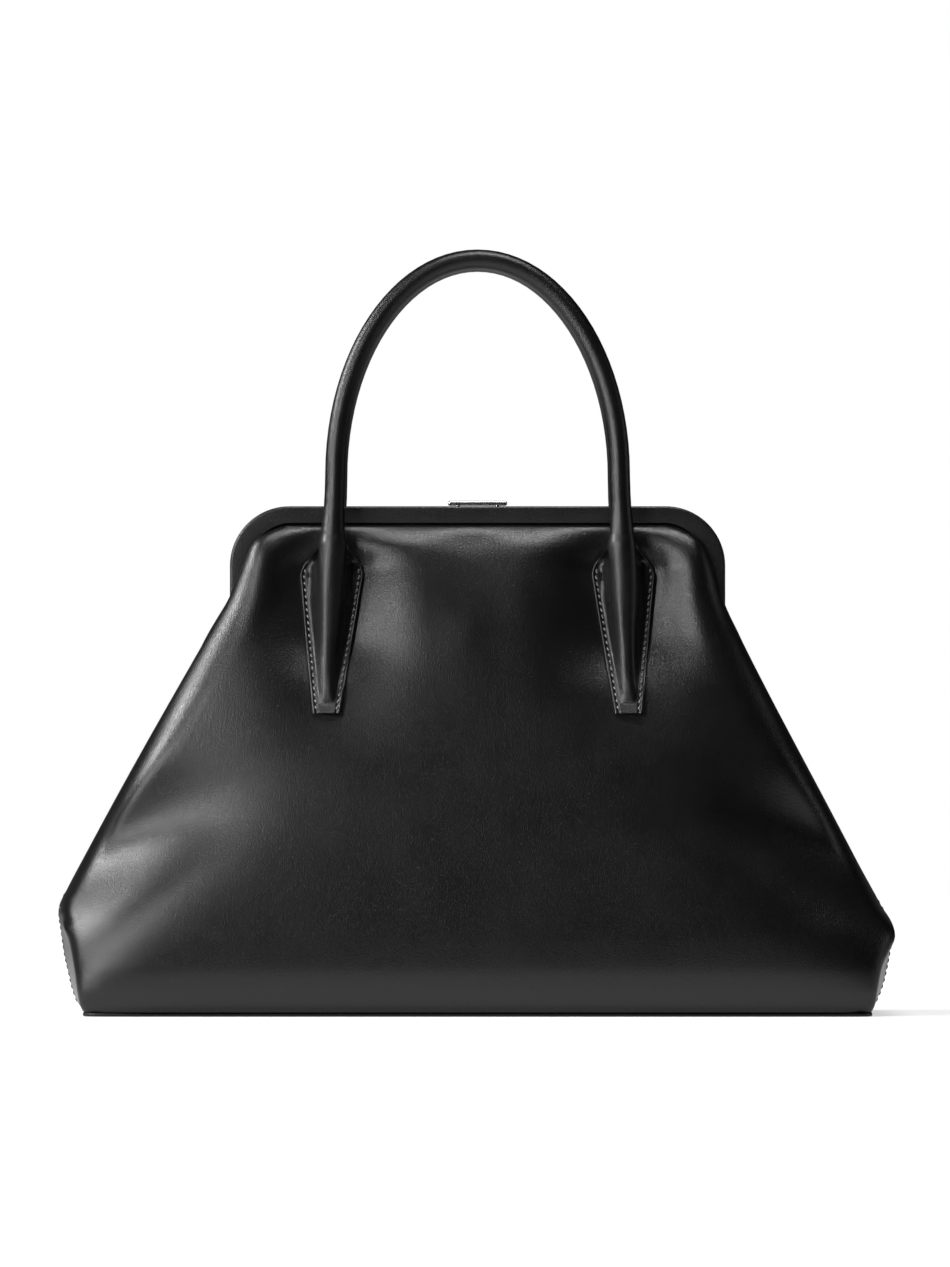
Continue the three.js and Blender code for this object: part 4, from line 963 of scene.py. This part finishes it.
LINING_INSET = 4.3
LINING_BOTTOM = 6.2
LINING_ROWS = [LINING_BOTTOM + (FOLD_TOP - 10 - LINING_BOTTOM) * k / 60 for k in range(61)]
SEAM_TURNS_Z = 191
POCKET_HALF, POCKET_BOTTOM, POCKET_TOP, HEM_Z = 75, 95, 172, 162


def lining_half(side, z):
    low = min(fold_half(side, z), seam_half(side, min(z, SEAM_TURNS_Z))) - 4.2
    leg = FRAME_HALF - FRAME_LEG - 5
    edge, way = frame_edge(0, z, row_angle(z))
    corner = edge.x + way.x * (frame_width(row_angle(z)) + 5)
    if z < SEAM_TURNS_Z:
        return low
    return mix(min(low, leg), min(leg, corner), ease((z - SEAM_TURNS_Z) / 12))


def lining_depth(x, z):
    half = lining_half(-1 if x < 0 else 1, z)
    above = mix(2.2, 9, ease((z - 185) / 25))
    start = max(2.2, mix(fold_depth(-1 if x < 0 else 1, z) - LINING_INSET, above, ease((z - 44) / 8)))
    swell = 1 - min(1.0, abs(x) / half) ** mix(6, 2.6, ease((z - 20) / 100))
    return min(mix(start, along(BELLY, z) - LINING_INSET - 1, swell), panel_depth(x, z) - LINING_INSET)


def body_lining(name, facing):
    wide, strip = 61, 3
    high = len(LINING_ROWS)
    channel = FRAME_FRONT - COVER_WALL - SEAT_GAP - PANEL_THICK - SEAT_GAP - LINING_THICK / 2

    def edge_run(start, side, z, angle):
        edge, way = frame_edge(start.x, z, angle)
        width = frame_width(angle)
        if angle > 0 or z >= LEG_END:
            return [edge + way * inward + Vector((0, -depth, 0)) for inward, depth in
                    ((width + 2.4, channel + 1.2), (width + 0.6, channel), (CORE_INNER + 0.5, channel))]
        seam = Vector((seam_half(side, z) - 3.4, -max(0.8, along(SEAM_DEPTH, z) - 1.6), z))
        return [start.lerp(seam, k / 3) for k in (1, 2, 3)]

    def inside(i, z):
        share = 2 * i / (wide - 1) - 1
        side = -1 if share < 0 else 1
        x = share * lining_half(side, z)
        return Vector((x, -max(1.6, lining_depth(x, z)), z)), side

    def place(i, j):
        column = min(max(i - strip, 0), wide - 1)
        z = LINING_ROWS[min(j, high - 1)]
        point, side = inside(column, z)
        out = max(strip - i, i - strip - wide + 1, 0)
        up = max(j - high + 1, 0)
        if out or up:
            angle = row_angle(z)
            if up:
                angle = mix(angle, math.pi / 2, up / (out + up))
            start = Vector((abs(point.x), point.y, point.z))
            point = edge_run(start, side, z, angle)[max(out, up) - 1]
            point.x *= side
        return (point.x, point.y * facing, point.z)

    lining = shaped_grid(name, wide + 2 * strip, high + strip, place)
    thicken(lining, LINING_THICK)
    return finish_piece(lining, suede)


linings = {}
for which, facing in HALVES:
    linings[which] = body_lining(f"{which}_lining_suede", facing)
    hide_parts(f"{which}_lining")
    bend_with_frame(linings[which])


def slip_pocket(name):
    """Open-topped pocket on the back lining, with a turned hem along its mouth."""
    across, up = 50, 30

    def place(i, j):
        x = mix(-POCKET_HALF, POCKET_HALF, i / (across - 1))
        z = mix(POCKET_BOTTOM, POCKET_TOP, j / (up - 1))
        hem = 0.5 * ease((z - HEM_Z) / 1.5)
        return (x, lining_depth(x, z) - 2.6 - hem, z)

    pocket = shaped_grid(name, across, up, place)
    thicken(pocket, LINING_THICK)
    return finish_piece(pocket, suede)


pocket = slip_pocket("slip_pocket_suede")
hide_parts("inner_pocket")
bend_with_frame(pocket)


# Clasp: a polished bar on two stems, and the leaf spring under it

def push_bar(name):
    deselect()
    add_block(BAR_SIZE, BAR_PLACE)
    bar = named(name)
    ease_edges(bar, 1.05, 6)
    apply_all(bar)
    bpy.ops.object.mode_set(mode="EDIT")
    for place in STEM_PLACES:
        bpy.ops.mesh.primitive_cylinder_add(vertices=24, radius=MM, depth=STEM_LENGTH * MM,
                                            location=[p * MM for p in place])
    bpy.ops.object.mode_set(mode="OBJECT")
    smooth_under(30)
    return finish_piece(bar, chrome)


bar = push_bar("push_bar_chrome")
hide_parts("clasp_bar")
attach(bar, "clasp_button")


def latch_leaf(name):
    """A bent leaf of spring steel with the lip that holds the tongue. It flattens as the bar is pressed."""
    def place(i, j):
        x, z = LEAF_BENDS[i]
        return (x, LEAF_FRONT + LEAF_WIDTH * j, z)

    leaf = shaped_grid(name, len(LEAF_BENDS), 2, place)
    thicken(leaf, LEAF_THICK)
    deselect()
    add_block(LIP_SIZE, LIP_PLACE)
    leaf.select_set(True)
    bpy.context.view_layer.objects.active = leaf
    bpy.ops.object.join()
    ease_edges(leaf, 0.1, 2)
    apply_all(leaf)
    smooth_under(30)
    return finish_piece(leaf, steel)


leaf = latch_leaf("latch_spring_leaf")
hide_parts("latch_spring")
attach(leaf, "back_frame")
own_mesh(leaf)


# Finishes of the carried-over pieces

def give(material, *names):
    for name in names:
        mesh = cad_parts[name].data
        mesh.materials.clear()
        mesh.materials.append(material)


give(steel, "front_frame_core", "back_frame_core", "left_hinge_pin", "right_hinge_pin", "left_inner_washer",
     "left_outer_washer", "right_inner_washer", "right_outer_washer", "clasp_tongue", "clasp_housing")
give(fibreboard, "base_board")


# Studio: a white sweep, soft lamps and a long lens at the height of the bag's middle

def white_sweep():
    """White paper that is bright to the camera, less so near the bag, and dim in the leather's reflections."""
    deselect()
    bpy.ops.mesh.primitive_plane_add(size=12)
    sweep = named("studio_sweep")
    material, tree, output, place = new_material("white_paper")
    speck = add_node(tree, "ShaderNodeTexNoise", {}, {"Vector": place, "Scale": 1 / (3 * MM), "Detail": 2.0})
    tint = between(tree, speck.outputs["Fac"], "#c2c2c2", "#c8c8c8")
    paper = add_node(tree, "ShaderNodeBsdfDiffuse", {}, {"Color": tint})
    path = add_node(tree, "ShaderNodeLightPath")
    mirror = add_node(tree, "ShaderNodeMath", {"operation": "MAXIMUM"},
                      {0: path.outputs["Is Glossy Ray"], 1: path.outputs["Is Transmission Ray"]})
    straight = add_node(tree, "ShaderNodeMath", {"operation": "MAXIMUM"},
                        {0: path.outputs["Is Camera Ray"], 1: mirror.outputs["Value"]})
    away = add_node(tree, "ShaderNodeVectorMath", {"operation": "LENGTH"}, {0: place})
    in_mirror = add_node(tree, "ShaderNodeMapRange", {"interpolation_type": "SMOOTHSTEP"},
                         {"Value": away.outputs["Value"], "From Min": 0.25, "From Max": 0.6,
                          "To Min": 0.42, "To Max": 0.1})
    in_sight = add_node(tree, "ShaderNodeMapRange", {"interpolation_type": "SMOOTHSTEP"},
                        {"Value": away.outputs["Value"], "From Min": 0.25, "From Max": 1.2,
                         "To Min": 0.6, "To Max": 1.0})
    strength = add_node(tree, "ShaderNodeMix", {},
                        {0: path.outputs["Is Camera Ray"], 2: in_mirror.outputs["Result"],
                         3: in_sight.outputs["Result"]})
    glow = add_node(tree, "ShaderNodeEmission", {},
                    {"Color": (1, 1, 1, 1), "Strength": strength.outputs[0]})
    off = add_node(tree, "ShaderNodeEmission", {}, {"Color": (0, 0, 0, 1), "Strength": 0.0})
    seen = add_node(tree, "ShaderNodeMixShader", {},
                    {0: straight.outputs["Value"], 1: off.outputs[0], 2: glow.outputs[0]})
    both = add_node(tree, "ShaderNodeAddShader", {}, {0: paper.outputs[0], 1: seen.outputs[0]})
    tree.links.new(both.outputs[0], output.inputs["Surface"])
    sweep.data.materials.append(material)


white_sweep()


def soft_lamp(name, place, aim, size, power):
    data = bpy.data.lights.new(name, "AREA")
    data.shape = "RECTANGLE"
    data.size, data.size_y = size
    data.energy = power
    lamp = bpy.data.objects.new(name, data)
    bpy.context.collection.objects.link(lamp)
    lamp.location = place
    lamp.rotation_euler = (Vector(aim) - Vector(place)).to_track_quat("-Z", "Y").to_euler()


soft_lamp("front_left", (-1.107, -1.64, 1.114), (0, 0, 0.15), (0.5, 0.5), 16)
soft_lamp("side_left", (-1.83, -0.145, 1.37), (0, 0, 0.15), (0.5, 0.5), 36)
soft_lamp("low_left", (-1.58, -1.22, 0.5), (0, 0, 0.2), (0.35, 0.9), 16)
soft_lamp("edge_left", (-1.5, 0.35, 1.2), (0, 0, 0.2), (0.3, 0.8), 4)
soft_lamp("top", (0.1, -0.35, 1.9), (0, 0, 0.2), (0.9, 0.35), 18)
soft_lamp("fill_right", (1.9, 0.1, 0.7), (0, 0, 0.2), (0.3, 1.0), 1.5)

# White to the camera, almost dark to all else, with a faint light behind the bag for low reflections
world = bpy.data.worlds.new("studio_air")
bpy.context.scene.world = world
world.use_nodes = True
air = world.node_tree
air.nodes.clear()
seen_by = add_node(air, "ShaderNodeLightPath")
mirrored = add_node(air, "ShaderNodeMath", {"operation": "MAXIMUM"},
                    {0: seen_by.outputs["Is Glossy Ray"], 1: seen_by.outputs["Is Transmission Ray"]})
way_out = add_node(air, "ShaderNodeSeparateXYZ", {},
                   {"Vector": add_node(air, "ShaderNodeTexCoord").outputs["Generated"]})
behind = add_node(air, "ShaderNodeMapRange", {"interpolation_type": "SMOOTHSTEP"},
                  {"Value": way_out.outputs["Y"], "From Min": 0.9, "From Max": 0.96, "To Max": 0.1})
in_mirror = add_node(air, "ShaderNodeMath", {"operation": "MULTIPLY"},
                     {0: mirrored.outputs["Value"], 1: behind.outputs["Result"]})
white = add_node(air, "ShaderNodeMath", {"operation": "MAXIMUM"},
                 {0: seen_by.outputs["Is Camera Ray"], 1: in_mirror.outputs["Value"]})
level = add_node(air, "ShaderNodeMapRange", {}, {"Value": white.outputs["Value"], "To Min": 0.01, "To Max": 1.0})
back_light = add_node(air, "ShaderNodeBackground", {},
                      {"Color": (1, 1, 1, 1), "Strength": level.outputs["Result"]})
add_node(air, "ShaderNodeOutputWorld", {}, {"Surface": back_light.outputs["Background"]})

# The camera shows 0.506 mm of the bag per pixel of the photograph, which is 1267 pixels high.
MM_PER_PIXEL = 0.506
PIXELS_HIGH = 1267
CAMERA_AWAY = 3.5
CAMERA_RISE = math.radians(-1.6)
camera_data = bpy.data.cameras.new("photo_camera")
camera_data.sensor_width = 36
camera_data.lens = 36 * CAMERA_AWAY / (PIXELS_HIGH * MM_PER_PIXEL * MM)
camera = bpy.data.objects.new("photo_camera", camera_data)
bpy.context.collection.objects.link(camera)
target = Vector((-0.0013, 0, 0.192))
camera.location = target + Vector((0, -math.cos(CAMERA_RISE), math.sin(CAMERA_RISE))) * CAMERA_AWAY
camera.rotation_euler = (target - camera.location).to_track_quat("-Z", "Y").to_euler()
bpy.context.scene.camera = camera
bpy.context.scene.view_settings.view_transform = "Standard"
